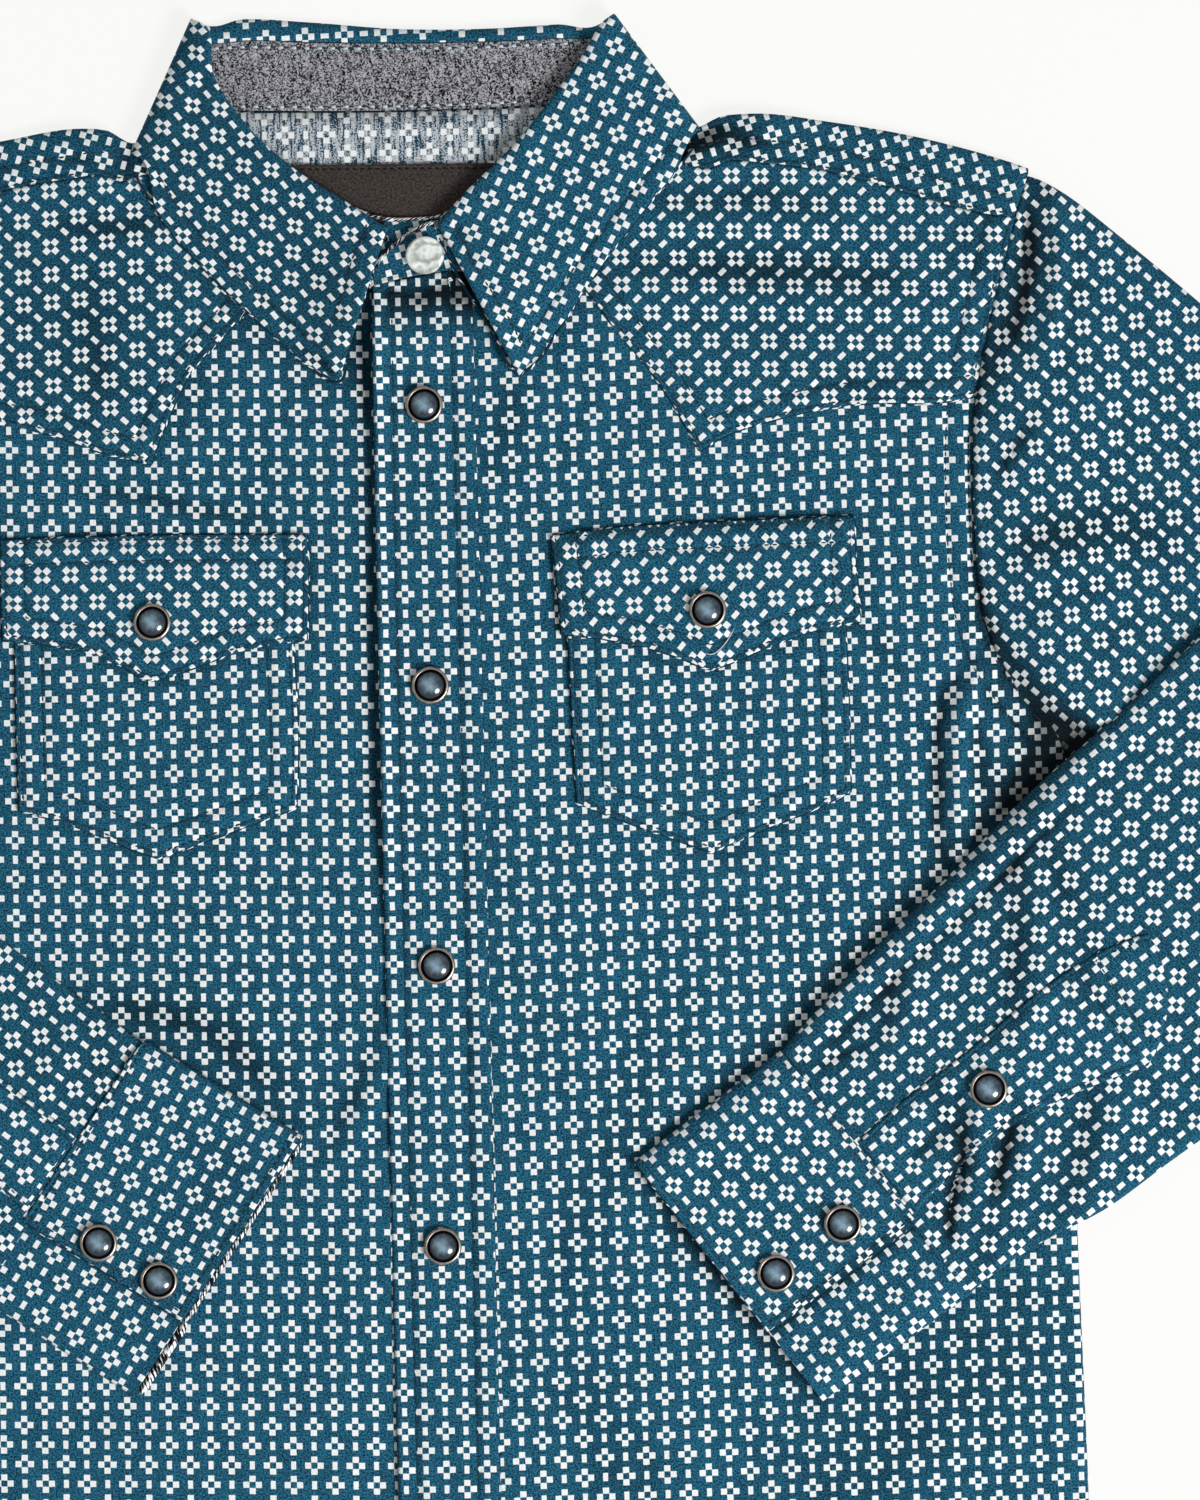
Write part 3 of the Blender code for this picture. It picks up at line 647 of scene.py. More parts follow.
YOKE_FOLDS = (
    (((80, 249), (87, 257.5), (98, 260.5), (112, 258)), 2, 0.8),
    (((77, 254), (83, 259.5), (92, 262.8)), 2.4, -0.9),
    (((86, 252.6), (96, 256), (108, 254)), 1.8, -0.7),
)
ease = rumpled(yoke_points, 5.0, 0.12)
yoke_points[:, 2] += ease * np.where(flat_part, 0.6, 1.0)
folded_neck = creased(np.column_stack((abs(yoke_points[:, 0]), yoke_points[:, 1])), YOKE_FOLDS)
yoke_points[:, 2] += np.where(flat_part, 0.0, folded_neck)
forward_seams = {}
for sign in (-1, 1):
    shown = sign * yoke_ribs[:, 1, 0] > 80
    line = yoke_ribs[shown][:, 2]
    forward_seams[sign] = line if sign > 0 else line[::-1]
shoulder_sewing = []
on_top = ~flat_part
for sign, line in forward_seams.items():
    for away in (1.0, 6.5):
        shoulder_sewing.append(beside(line, away * sign))
        yoke_points[on_top, 2] += sewn(yoke_points[on_top, :2], shoulder_sewing[-1], away, pucker=0.14)
faces = [
    f
    for f in woven_faces(len(yoke_ribs), yoke_columns)
    if (wraps[f[0] // yoke_columns] and wraps[f[2] // yoke_columns]) or f[0] % yoke_columns < FOOT_POINTS - 1
]
used = sorted({corner for face in faces for corner in face})
number = {corner: k for k, corner in enumerate(used)}
faces = [tuple(number[c] for c in face) for face in faces]
yoke_points, flat_part = yoke_points[used], flat_part[used]
inside_print = printed(yoke_points, (-33.0, 256.4), 0.0, 0.0)
# Painted shade on the yoke where it wraps over the shoulders: a little all over, and more in strokes beside
# the collar's leaves
YOKE_SHADE = (
    (((60, 236), (70, 248.5), (79, 256), (88, 258.5), (102, 257.5)), 4.4, 0.95),
    (((-80, 266), (-84.5, 256), (-87, 246)), 3.2, 0.6),
)
yoke_shade = np.where(flat_part, 0.0, 0.14 + creased(yoke_points[:, :2], YOKE_SHADE))
back_yoke = make_mesh("back_yoke_panel", yoke_points, faces, inside_print, [PRINT, REVERSE], depth=yoke_shade)
for sign, centre in ((1, (145.9, 246.4)), (-1, (-145.9, 246.4))):
    forward = [not flat_part[list(f)].all() and sign * yoke_points[f[0], 0] > 0 for f in faces]
    reprinted(back_yoke, forward, printed(yoke_points, centre, 15.0 * sign, 17.0 * sign))
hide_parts("back_yoke")
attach(back_yoke, "root")

# ------------------------------------------------------------------------------
# Fronts. Two panels of the same cotton, cut straight on the grain, from the neck and the forward shoulder
# seam down to the shirttail hem. Each rises in one soft upright fold where the sleeve pulls at the underarm.

SIDES = (("left", 1), ("right", -1))
FRONT_HEM = -289.5
FRONT_EDGE = {"left": 8.3, "right": 7.7}
NECKLINE = ((60.0, 255.6), (52.0, 247.6), (42.0, 237.8), (27.0, 223.8), (15.0, 216.2))
ARMHOLE_FOOT = 85.0
SHOULDER_END = 234.0
# Above this the yoke covers the front's armhole
UNDER_YOKE = 182.0
FRONT_PRINT = {
    "left": ((94.6, -104.3), 1.2, 0.5, (6.08, 5.77)),
    "right": ((-39.0, -94.5), -1.6, -0.4, (6.08, 5.73)),
}
FRONT_CREASES = {
    "left": (
        (((168, 104), (161, 98), (156, 88), (154.6, 68), (154.6, 42)), 3.2, 3),
        (((161, 100), (152, 94), (148.5, 83), (148, 66), (148, 46)), 2.2, -0.9),
        (((160, 92), (166, 80), (174, 62)), 4.5, 0.9),
        (((136, 76), (118, 58), (96, 44), (70, 34)), 8, 0.5),
        (((150, 42), (132, 30), (108, 16)), 7, 0.45),
        (((128, 168), (127, 140), (129, 110)), 7, 0.35),
        (((34, 150), (31, 120), (33, 90)), 6, 0.3),
        (((20, 60), (42, 10), (50, -40)), 12, 0.6),
        (((24, -70), (52, -110), (90, -132)), 10, 0.6),
        (((150, -90), (146, -120), (150, -160)), 9, 0.7),
    ),
    "right": (
        (((-166, 103), (-158.5, 95.5), (-154.2, 86), (-152.8, 68), (-153, 44)), 2.2, 2.9),
        (((-161, 100), (-153.5, 93), (-150, 83), (-148.6, 66), (-149, 48)), 1.7, -1),
        (((-10, 14), (-15.5, -8), (-21, -24), (-30, -40)), 4.2, 1),
        (((-14, 12), (-20, -8), (-26.5, -24), (-42, -40)), 3, -0.4),
        (((-106, 18), (-84, 15), (-64, 11), (-50, -4), (-38, -24)), 5, 0.8),
        (((-104, 8), (-84, 4), (-66, -4), (-50, -18)), 5, -0.5),
        (((-104, 157.5), (-80, 152), (-60, 148), (-42, 144.5)), 2.6, 0.9),
        (((-160, 92), (-166, 80), (-174, 62)), 4.5, 0.9),
        (((-24, 150), (-28, 110), (-22, 60)), 7, 0.4),
        (((-30, 40), (-60, 28), (-96, 20)), 10, 0.5),
        (((-30, -60), (-26, -100), (-34, -140)), 10, 0.5),
    ),
}
# Painted shade on the body's cloth, in its folds and beside and under what lies on it: line, width and depth
# of the shade
BODY_SHADE = (
    (((56, 240), (80, 240), (104, 240), (128, 236)), 4.4, 0.32),
    (((56, 222), (84, 219.5), (112, 217.5), (150, 214)), 5.2, 0.42),
    (((102, 184), (130, 184.5), (158, 186)), 6, 0.24),
    (((168, 238), (163, 226), (159, 212)), 7.5, 0.3),
    (((160.5, 134), (161.5, 120), (165.5, 109), (173, 100), (184, 90)), 3.4, 0.62),
    (((162, 100), (152, 95.5), (149, 84), (148.6, 62), (146.5, 40)), 2.7, 0.3),
    (((166, 54), (179, 74), (186, 88), (204, 92)), 9.5, 0.95),
    (((160, 106), (174, 95), (186, 88), (206, 88)), 6.5, 0.6),
    (((216, 106), (174, 67.5), (148, 42), (121.5, 17.2), (97, -8.5), (52, -42)), 4, 0.7),
    (((131, 152), (127, 136), (128, 118), (138, 96)), 4.6, 0.26),
    (((66, 14), (55, -25), (41, -60), (32, -94)), 8.5, 0.26),
    (((34, -92), (46, -120), (50, -170)), 10, 0.22),
    (((196, -76), (160, -100), (128, -126), (108, -170)), 24, 0.32),
    (((56, -42), (72, -64.5), (90, -88.5), (112, -117)), 3.4, 0.78),
    (((-110, 10), (-88, 7), (-67, 1), (-52, -13), (-38, -32)), 7.5, 0.5),
    (((-110, 4), (-84, -4), (-64, -17), (-44, -31)), 4, 0.3),
    (((-13, 16), (-19, -6), (-25, -22), (-33, -36), (-47, -45)), 3.2, 0.26),
    (((-104, 161), (-80, 155.5), (-60, 151), (-40, 146.5)), 2.8, 0.4),
    (((-108, 237), (-90, 236), (-70, 238)), 3.6, 0.5),
    (((-97, 222), (-96, 200), (-93, 180)), 6.5, 0.32),
    (((-50, 214), (-64, 196), (-79, 172)), 5, 0.2),
    (((-17, 224), (-17.2, 150), (-17.2, 90), (-16.5, 22)), 2.6, 0.55),
    (((-66, 224), (-46, 203), (-27, 184)), 4, 0.28),
    (((64, 232), (50, 212), (38, 196)), 4, 0.22),
    (((27, 192), (24, 176), (17, 158)), 6, 0.4),
    (((-28, 214), (-21, 197), (-17, 176)), 5, 0.5),
    (((-112, 170), (-104, 215), (-112, 250)), 40, 0.22),
    (((54, 206), (110, 214), (180, 210)), 34, 0.12),
    (((37, 116), (57, 110.4), (81, 102), (100, 107.8), (128, 115.5)), 2.2, 0.34),
    (((-127, 116), (-99, 110.4), (-81, 102), (-55, 110), (-34, 113.5)), 2.2, 0.3),
    (((41, 66), (60, 56.5), (82, 48), (112, 60.5), (124, 66)), 2.4, 0.24),
    (((-123, 66), (-100, 58), (-81, 50), (-54, 59), (-39, 65)), 2.4, 0.24),
    (((34, 141), (57, 144), (110, 145.5), (128, 146)), 3.2, 0.26),
    (((36.5, 148), (37.8, 128), (39, 108)), 2.4, 0.4),
    (((-36, 148), (-35.5, 130), (-37, 110)), 2.6, 0.26),
)
yoke_foot = {
    "left": (
        (162.3, 180.9), (148.2, 179.3), (136.0, 179.6), (125.2, 179.3), (108.7, 176.7), (96.0, 173.6),
        (91.3, 172.2), (80.8, 166.7),
    ),
    "right": (
        (-80.6, 166.4), (-84.5, 167.6), (-88.3, 168.4), (-96.2, 170.6), (-108.7, 175.4), (-125.2, 179.0),
        (-148.2, 180.4), (-162.3, 180.9),
    ),
}
yoke_rise = {
    "left": ((80.8, 166.7), (75.2, 176.9), (69.2, 187.0), (57.5, 202.0), (47.8, 215.7), (37.5, 231.0)),
    "right": ((-41.3, 226.0), (-51.2, 211.4), (-63.2, 198.8), (-67.7, 193.9), (-73.8, 182.9), (-80.6, 166.4)),
}
yoke_top = (
    (37.5, 231.0), (60.0, 254.4), (68.0, 251.8), (77.0, 251.2), (85.0, 249.4), (91.0, 251.6), (99.0, 251.0),
    (122.0, 247.4), (135.5, 243.7), (148.0, 239.4), (166.0, 234.4), (174.8, 233.2),
)
armhole_line = [(x - 0.2, y) for y, x in reversed(SIDE) if ARMHOLE_FOOT <= y <= SHOULDER_END]
side_seam = [(x - 0.2, y) for y, x in reversed(SIDE) if y <= ARMHOLE_FOOT]
armhole_sewing = [beside(eased(armhole_line, 2.0), away) for away in (1.3, 8.0)]


def surface_of(*pieces):
    """Finds how high some pieces' cloth lies at a place, looking down on them."""
    trees = []
    for piece in pieces:
        corners = [v.co for v in piece.data.vertices]
        trees.append(BVHTree.FromPolygons(corners, [tuple(f.vertices) for f in piece.data.polygons]))

    def height(x, y, otherwise=0.0):
        hits = [tree.ray_cast(Vector((x * MM, y * MM, 0.1)), Vector((0, 0, -1)))[0] for tree in trees]
        found = [hit.z / MM for hit in hits if hit is not None]
        return max(found) if found else otherwise

    return height


def edging(name, lines, finish, thick=0.55):
    """A turned edge that shows as a fine roll, along lines in space."""
    corners, faces, across = [], [], []
    for line in lines:
        line = eased(line, 0.8)
        step = np.gradient(line, axis=0)
        step /= np.linalg.norm(step, axis=1)[:, None]
        out = np.cross((0.0, 0.0, 1.0), step)
        out /= np.linalg.norm(out, axis=1)[:, None]
        first = len(corners)
        for k, point in enumerate(line):
            fine = thick * min(1.0, 0.35 + 0.25 * min(k, len(line) - 1 - k))
            for turn in range(6):
                a = math.tau * turn / 6
                corners.append(point + fine * (out[k] * math.cos(a) + (0.0, 0.0, math.sin(a))))
                across.append((0.7 * k / MOTIF[0] + 0.1 * turn, 0.43 * turn / MOTIF[1]))
        faces += [[first + corner for corner in face] for face in woven_faces(len(line), 6, ring=True)]
    made = make_mesh(name, corners, faces, across, [finish], thickness=0)
    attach(made, "root")
    return made


def edge_shade_finish(name, dark, light, white):
    """Painted shade along the turned edges: dark teal standing in for the shadow beside each edge, with a
    white fleck wherever a motif wraps over the fold.
    """
    made, tree, shader = new_finish(name, 0.9)
    _, spot = cloth_grain(tree)
    fleck = ranged(tree, speckle(tree, spot, 0.55, 1.0), 0.60, 0.64)
    teal = blended(tree, speckle(tree, spot, 1.6, 3.0, 0.7), dark, light)
    tree.links.new(blended(tree, fleck, teal, white), shader.inputs["Base Color"])
    return made


# Dark teal painted shade for the rolls along the turned edges
EDGE_SHADE = edge_shade_finish("painted_edge_shade", (0.0004, 0.006, 0.013), (0.006, 0.050, 0.085), (0.80, 0.85, 0.86))


def edge_shade_roll(name, lines, *hosts, thick=0.46, drop=0.4, inward=0.6):
    """A fine roll in the painted edge shade along a panel's turned edges, at the height of the cloth just
    inside them.
    """
    height = surface_of(*hosts)
    rolls = []
    for line in lines:
        inside = beside(line, inward)
        heights = [height(x, y, None) for x, y in inside]
        known = [k for k, z in enumerate(heights) if z is not None]
        if len(known) < 2:
            continue
        run = np.r_[0, np.linalg.norm(np.diff(inside, axis=0), axis=1).cumsum()]
        filled = np.interp(run, run[known], [heights[k] for k in known])
        z = np.interp(np.linspace(0, 1, len(line)), run / run[-1], filled)
        rolls.append(np.column_stack((line, z - drop)))
    return edging(name, rolls, EDGE_SHADE, thick=thick)


def either_side(sign, line):
    """A line of the wearer's left, or its mirror image for the right."""
    return line if sign > 0 else line * (-1, 1)


front_hems = {}
for side, sign in SIDES:
    neckline = [(x * neck_spread(sign, x), y) for x, y in NECKLINE]
    edge_x = FRONT_EDGE[side]
    front_edges = [
        hem_line(FRONT_HEM, edge_x, 188.8),
        side_seam,
        armhole_line,
        [armhole_line[-1], neckline[0]],
        [*neckline, (edge_x, 214.3)],
        [(edge_x, 214.3), (edge_x, FRONT_HEM)],
    ]
    front_edges[-1][-1] = tuple(front_edges[0][0])
    if sign < 0:
        front_edges = mirrored(front_edges)
    front_hem = eased(hem_line(FRONT_HEM, sign * 14.0, sign * (HALF_HEM - 1)), 2.4)
    front_hems[side] = beside(front_hem, HEM_ALLOWANCE * sign)
    front_sewing = [either_side(sign, line[line[:, 1] < UNDER_YOKE]) for line in armhole_sewing]
    front_sewing.append(front_hems[side])
    creases = FRONT_CREASES[side]
    front, cut_area = laid_panel(
        side + "_front_panel",
        front_edges,
        lambda p: level(1) + lift(*p.T) + creased(p, creases) + rumpled(p, 11.0 + sign, 0.5),
        lambda p: printed(p, *FRONT_PRINT[side]),
        [PRINT, REVERSE],
        sewing=front_sewing,
        spacing=2.2,
        painted_shade=BODY_SHADE,
    )
    armhole_edge = eased([(x + 0.1, y) for x, y in armhole_line if y < UNDER_YOKE], 2.0)
    edge_shade_roll(side + "_armhole_edge", [either_side(sign, armhole_edge)[::sign]], front)
    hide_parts(side + "_front")
    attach(front, "root")

# ------------------------------------------------------------------------------
# Front yokes. A pointed panel on each front, cut on the bias so that the crosses stand square on their
# corners, turned under and double stitched along its foot and set into the shoulder seam and the armhole.

YOKE_PRINT = {
    "left": ((118.4, 205.9), -43.9, -46.5, (6.04, 5.66)),
    "right": ((-75.5, 208.8), 46.5, 47.5, (6.04, 5.6)),
}
YOKE_CREASES = {
    "left": (
        (((152, 228), (156, 208), (156, 190)), 5, -0.45),
        (((56, 234.5), (80, 234), (104, 233), (130, 229)), 5, 1.1),
        (((58, 214), (84, 212.5), (112, 211), (148, 207)), 5.6, 1.3),
    ),
    "right": ((((-150.0, 222.0), (-156.0, 205.0), (-155.0, 190.0)), 5.0, -0.45),),
}
yoke_armhole = [(x - 0.2, y) for y, x in reversed(SIDE) if 180.9 <= y <= SHOULDER_END]
yoke_armhole[0] = yoke_foot["left"][0]
yoke_armhole[-1] = yoke_top[-1]
yoke_sewing = {}
for side, sign in SIDES:
    top = [(sign * x * neck_spread(sign, x), y) for x, y in yoke_top]
    foot, rise = yoke_foot[side], yoke_rise[side]
    if sign > 0:
        edges = [yoke_armhole, top[:0:-1], [top[1], top[0]], rise[::-1], foot[::-1]]
        foot_line = np.vstack((eased(foot, 1.6)[:-1], eased(rise, 1.6)))
    else:
        edges = [mirrored([yoke_armhole])[0], foot[::-1], rise[::-1], [rise[0], top[1]], top[1:]]
        foot_line = np.vstack((eased(rise, 1.6)[:-1], eased(foot, 1.6)))
    yoke_sewing[side] = [beside(foot_line, -away) for away in (1.2, 6.4)]
    for line in armhole_sewing:
        yoke_sewing[side].append(either_side(sign, line[line[:, 1] > UNDER_YOKE]))
    creases = YOKE_CREASES[side]
    front_yoke, cut_area = laid_panel(
        side + "_front_yoke_panel",
        edges,
        lambda p: level(2) + lift(*p.T) + creased(p, creases) + rumpled(p, 21.0 + sign, 0.5),
        lambda p: printed(p, *YOKE_PRINT[side]),
        [PRINT, REVERSE],
        sewing=yoke_sewing[side],
        spacing=1.8,
        painted_shade=BODY_SHADE,
    )
    yoke_edge = eased([(x + 0.1, y) for x, y in yoke_armhole], 2.0)
    edge_shade_roll(side + "_yoke_edge", [foot_line[::-1], either_side(sign, yoke_edge)[::sign]], front_yoke)
    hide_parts(side + "_front_yoke")
    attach(front_yoke, "root")

# ------------------------------------------------------------------------------
# Front placket. A folded band of the print on the wearer's left front, lapped over the right and stitched
# down near both of its edges, which carries the caps of the snaps.

PLACKET_PRINT = ((5.3, 23.5), -0.3, 0.1, (5.97, 5.72))
placket_right = [(14.4, FRONT_HEM), (15.0, -200.0), (15.1, 0.0), (15.0, 150.0), (14.6, 222.5)]
placket_left = [
    (-14.4, 217.6), (-14.7, 180.0), (-14.9, 60.0), (-14.7, -100.0), (-13.9, -225.0), (-13.7, FRONT_HEM),
]
placket_edges = [
    placket_right,
    [placket_right[-1], placket_left[0]],
    placket_left,
    [placket_left[-1], placket_right[0]],
]
PLACKET_CREASES = (
    (((-12, 206), (0, 203), (13, 207)), 3.5, 0.35),
    (((-13, 140), (2, 138), (13, 143)), 5, 0.22),
    (((-12, 60), (0, 56), (13, 58)), 5, 0.2),
    (((-12, -20), (0, -26), (13, -22)), 6, 0.22),
    (((-12, -105), (0, -108), (13, -102)), 6, 0.2),
)
# Painted shade on the placket: under the stand's seam, beside the wearer's left leaf and along its rows of
# stitches
PLACKET_SHADE = (
    (((-18, 212), (-4, 212.5), (8, 215), (20, 220)), 6.4, 0.84),
    (((8, 228), (14, 215), (20.5, 204), (28, 188)), 5.6, 0.78),
    (((8.5, 210), (8.6, 100), (8.6, 0), (8.5, -200)), 2.2, 0.14),
    (((-9.5, 190), (-9.8, 60), (-9.5, -190)), 2, 0.1),
)


def rising(places):
    """The placket rises to the collar stand's seam, most of all at the corner that laps over."""
    x, y = places.T
    seam = np.interp(y - 0.16 * x, (188.0, 199.0, 204.0, 215.0), (0.0, 1.5, 1.5, 0.3))
    down_edge = np.interp(y, (26.0, 60.0, 90.0, 140.0, 196.0, 215.0), (0.0, 0.9, 1.0, 0.75, 1.0, 0.5))
    return seam + 2.8 * np.exp(-(((x + 15.0) / 6.0) ** 2)) * down_edge


placket_sewing = [
    beside(eased(placket_right, 2.0), 6.2),
    beside(eased(placket_left, 2.0), 5.6),
    np.array([(-13.0, FRONT_HEM + HEM_ALLOWANCE), (13.5, FRONT_HEM + HEM_ALLOWANCE)]),
]
placket, cut_area = laid_panel(
    "front_placket_band",
    placket_edges,
    lambda p: level(2) + creased(p, PLACKET_CREASES) + rumpled(p, 31.0, 0.35) + rising(p),
    lambda p: printed(p, *PLACKET_PRINT),
    [PRINT, REVERSE],
    sewing=placket_sewing,
    spacing=1.8,
    painted_shade=PLACKET_SHADE,
)
placket_rims = [eased(placket_right, 2.0), eased(placket_left, 2.0)]
edge_shade_roll("placket_edge", placket_rims, placket, thick=0.3, drop=0.45)
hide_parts("front_placket")
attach(placket, "root")

# ------------------------------------------------------------------------------
# Chest pockets. Patch pockets with pointed feet, cut straight on the grain, turned under on all sides and
# double stitched. Their mouths are hidden by the flaps.

POCKET_PRINT = {
    "left": ((87.5, 80.1), 1.6, 0.0, (6.03, 5.76)),
    "right": ((-69.8, 81.1), 0.4, -0.2, (6.06, 5.71)),
}
pocket_sides = {
    "left": (
        [(39.6, 135.6), (40.8, 112.9), (41.3, 94.4), (42.3, 64.1)],
        [(42.3, 64.1), (60.0, 56.9), (81.7, 48.8)],
        [(81.7, 48.8), (95.1, 54.4), (112.3, 60.9), (122.7, 65.8)],
        [(122.7, 65.8), (122.8, 82.0), (122.3, 112.6), (121.6, 135.6)],
    ),
    "right": (
        [(-121.6, 135.6), (-121.8, 112.6), (-121.8, 82.0), (-121.6, 65.6)],
        [(-121.6, 65.6), (-100.2, 58.4), (-92.6, 55.0), (-80.9, 50.7)],
        [(-80.9, 50.7), (-54.3, 59.6), (-40.3, 64.5)],
        [(-40.3, 64.5), (-39.3, 81.5), (-39.9, 111.5), (-40.2, 135.6)],
    ),
}
pocket_sewing = {}
for side, sign in SIDES:
    down, foot_in, foot_out, up = pocket_sides[side]
    stitched = np.vstack([eased(e, 1.6)[:-1] for e in (down, foot_in, foot_out)] + [eased(up, 1.6)])
    pocket_sewing[side] = [beside(stitched, away) for away in (1.3, 7.9)]
    pocket, cut_area = laid_panel(
        side + "_pocket_patch",
        [down, foot_in, foot_out, up, [up[-1], down[0]]],
        lambda p: level(2) + rumpled(p, 41.0 + sign, 0.42),
        lambda p: printed(p, *POCKET_PRINT[side]),
        [PRINT, REVERSE],
        sewing=pocket_sewing[side],
        spacing=1.8,
        painted_shade=BODY_SHADE,
    )
    edge_shade_roll(side + "_pocket_edge", [stitched], pocket)
    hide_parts(side + "_pocket")
    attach(pocket, "root")

# ------------------------------------------------------------------------------
# Pocket flaps. Five-sided flaps with one point, cut on the bias, edge stitched all round, with a second row
# below the top edge that holds the flap down.

FLAP_PRINT = {
    "left": ((85.5, 122.4), -42.0, -41.5, (6.1, 5.75)),
    "right": ((-64.0, 126.3), 42.6, 44.0, (5.95, 5.6)),
}
flap_sides = {
    "left": (
        [(36.3, 142.5), (37.9, 128.6), (38.8, 113.8)],
        [(38.8, 113.8), (56.6, 111.0), (74.7, 105.6), (80.6, 103.0), (82.9, 102.5)],
        [(82.9, 102.5), (86.0, 103.4), (98.6, 108.3), (109.0, 112.0), (126.7, 115.5)],
        [(126.7, 115.5), (126.3, 123.7), (125.6, 135.0), (125.7, 146.4)],
        [(125.7, 146.4), (109.8, 146.2), (81.5, 145.5), (57.4, 144.8), (36.3, 142.5)],
    ),
    "right": (
        [(-125.2, 145.0), (-125.4, 128.6), (-125.2, 115.8)],
        [(-125.2, 115.8), (-112.0, 114.0), (-99.0, 111.2), (-91.1, 107.6), (-83.4, 103.4), (-80.9, 102.9)],
        [(-80.9, 102.9), (-78.0, 103.6), (-54.9, 110.9), (-36.0, 113.8)],
        [(-36.0, 113.8), (-35.2, 128.0), (-35.3, 144.6)],
        [(-35.3, 144.6), (-60.0, 145.2), (-98.2, 145.4), (-125.2, 145.0)],
    ),
}


def flap_height(places, top_line, seed):
    """A flap lies flat over its pocket and sinks along its top, where the second row holds it down."""
    sunk = 1 - np.clip(from_line(places, top_line, 12)[0] / 9.0, 0, 1)
    return level(3) - 0.9 * sunk + rumpled(places, seed, 0.4)


flap_sewing = {}
for side, sign in SIDES:
    edges = flap_sides[side]
    around = np.vstack([eased(e, 1.6)[:-1] for e in edges[:3]] + [eased(edges[3], 1.6)])
    top_line = eased(edges[4], 1.6)
    flap_sewing[side] = [beside(around, away) for away in (1.3, 7.0)]
    flap_sewing[side] += [beside(top_line, away)[2:-2] for away in (1.2, 7.4)]
    flap, cut_area = laid_panel(
        side + "_pocket_flap_panel",
        edges,
        lambda p: flap_height(p, top_line, 51.0 + sign),
        lambda p: printed(p, *FLAP_PRINT[side]),
        [PRINT, REVERSE],
        sewing=flap_sewing[side],
        spacing=1.8,
        painted_shade=BODY_SHADE,
    )
    edge_shade_roll(side + "_flap_edge", [around, top_line], flap)
    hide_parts(side + "_pocket_flap")
    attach(flap, "root")

# ------------------------------------------------------------------------------
# Sleeves. Each is a tube of the print with its grain along the arm, set into the armhole, folded back at the
# elbow and laid over the front, with small pleats where the cuff gathers it.

HALF_SPAN = 282.0
ELBOW_TOP, ELBOW_FOOT = 158.0, 4.0
FOLDED_SLEEVE = 5.2
UPPER_ARM = (
    # outer edge x, y, under edge x, y on the upper layer, then on the lower layer, and the puff
    (179.5, 246.6, 171.3, 99.0, 185.0, 70.0, 1.6),
    (192.0, 239.3, 184.0, 94.0, 190.5, 72.0, 2.4),
    (205.0, 228.5, 198.5, 84.5, 201.5, 70.0, 1.3),
    (228.0, 208.5, 224.0, 60.5, 224.5, 59.5, 1.0),
    (255.0, 183.0, 252.0, 31.5, 252.0, 31.5, 0.6),
)
FOREARM = {
    "left": (
        # upper edge x, y, lower edge x, y, the height of the lower layer, and the puff
        (255.0, 136.0, 259.0, -14.0, 5.0, 1.0),
        (228.0, 111.5, 236.0, -31.0, 4.7, 1.8),
        (199.0, 85.2, 214.0, -46.0, 4.4, 2.2),
        (175.6, 65.5, 195.8, -58.8, 3.9, 2.2),
        (149.8, 40.0, 179.4, -66.8, 3.4, 1.9),
        (123.5, 15.2, 167.5, -73.5, 3.2, 1.5),
        (99.4, -11.0, 153.9, -83.4, 3.1, 0.9),
    ),
    "right": (
        (255.0, 137.0, 256.0, -10.0, 5.0, 1.0),
        (226.0, 110.0, 232.0, -24.0, 4.7, 1.8),
        (194.0, 83.5, 209.0, -38.0, 4.4, 2.2),
        (165.0, 59.0, 189.0, -50.0, 3.9, 2.2),
        (138.0, 36.5, 171.5, -58.0, 3.4, 1.9),
        (109.5, 14.5, 152.5, -67.5, 3.2, 1.5),
        (85.2, -4.0, 136.4, -77.5, 3.1, 0.9),
    ),
}
# How far the cloth stands up at the underarm, for three of the upper arm's outer edges
UNDERARM_RISE = {192.0: 4.6, 205.0: 4.2, 228.0: 1.2}
SLEEVE_SHARES = np.r_[0.012, 0.035, np.linspace(0.06, 0.94, 62), 0.965, 0.988]
UPPER_ARM_PRINT = ((186.9, 174.6), 50.0, 47.0, (5.95, 5.6))
FOREARM_PRINT = {
    "left": ((158.8, 7.9), -51.2, -50.9, (5.99, 5.81)),
    "right": ((-151.0, 12.0), 51.0, 50.5, (5.99, 5.81)),
}
UPPER_ARM_CREASES = (
    (((181.6, 246.6), (187.2, 235.3), (187.8, 216.7), (184.4, 199.1), (179.5, 184.6)), 2.8, 2.1),
    (((177, 242), (178.6, 228), (177, 212), (173, 194)), 3.2, -1.3),
    (((180.5, 179), (174.5, 167.5), (167, 157)), 2, -0.7),
    (((184, 178), (178, 165.5), (171, 154)), 3, 0.8),
    (((196, 208), (199, 184), (196, 160)), 6, 1),
    (((172, 127), (186, 131), (204, 132)), 6, 1.6),
    (((176, 108), (190, 116), (206, 119)), 4.5, 0.7),
)
# Painted shade on the upper arm's top layer, along the armhole and in its folds
UPPER_ARM_SHADE = (
    (
        ((184.0, 252.0), (181.0, 237.0), (178.5, 222.0), (174.0, 206.0), (167.5, 190.0), (161.5, 168.0)),
        5.0,
        0.66,
    ),
    (((182, 178), (175, 166.5), (166, 156)), 1.9, 0.36),
    (((170, 131), (188, 139.5), (206, 141), (226, 136)), 8.5, 0.42),
    (((160.5, 134), (162, 120), (166.5, 109), (174, 100), (186, 90)), 3.6, 0.62),
)
# The body's strokes of painted shade that go on across the sleeve's under layer
UNDERARM_SHADE = BODY_SHADE[4:9]
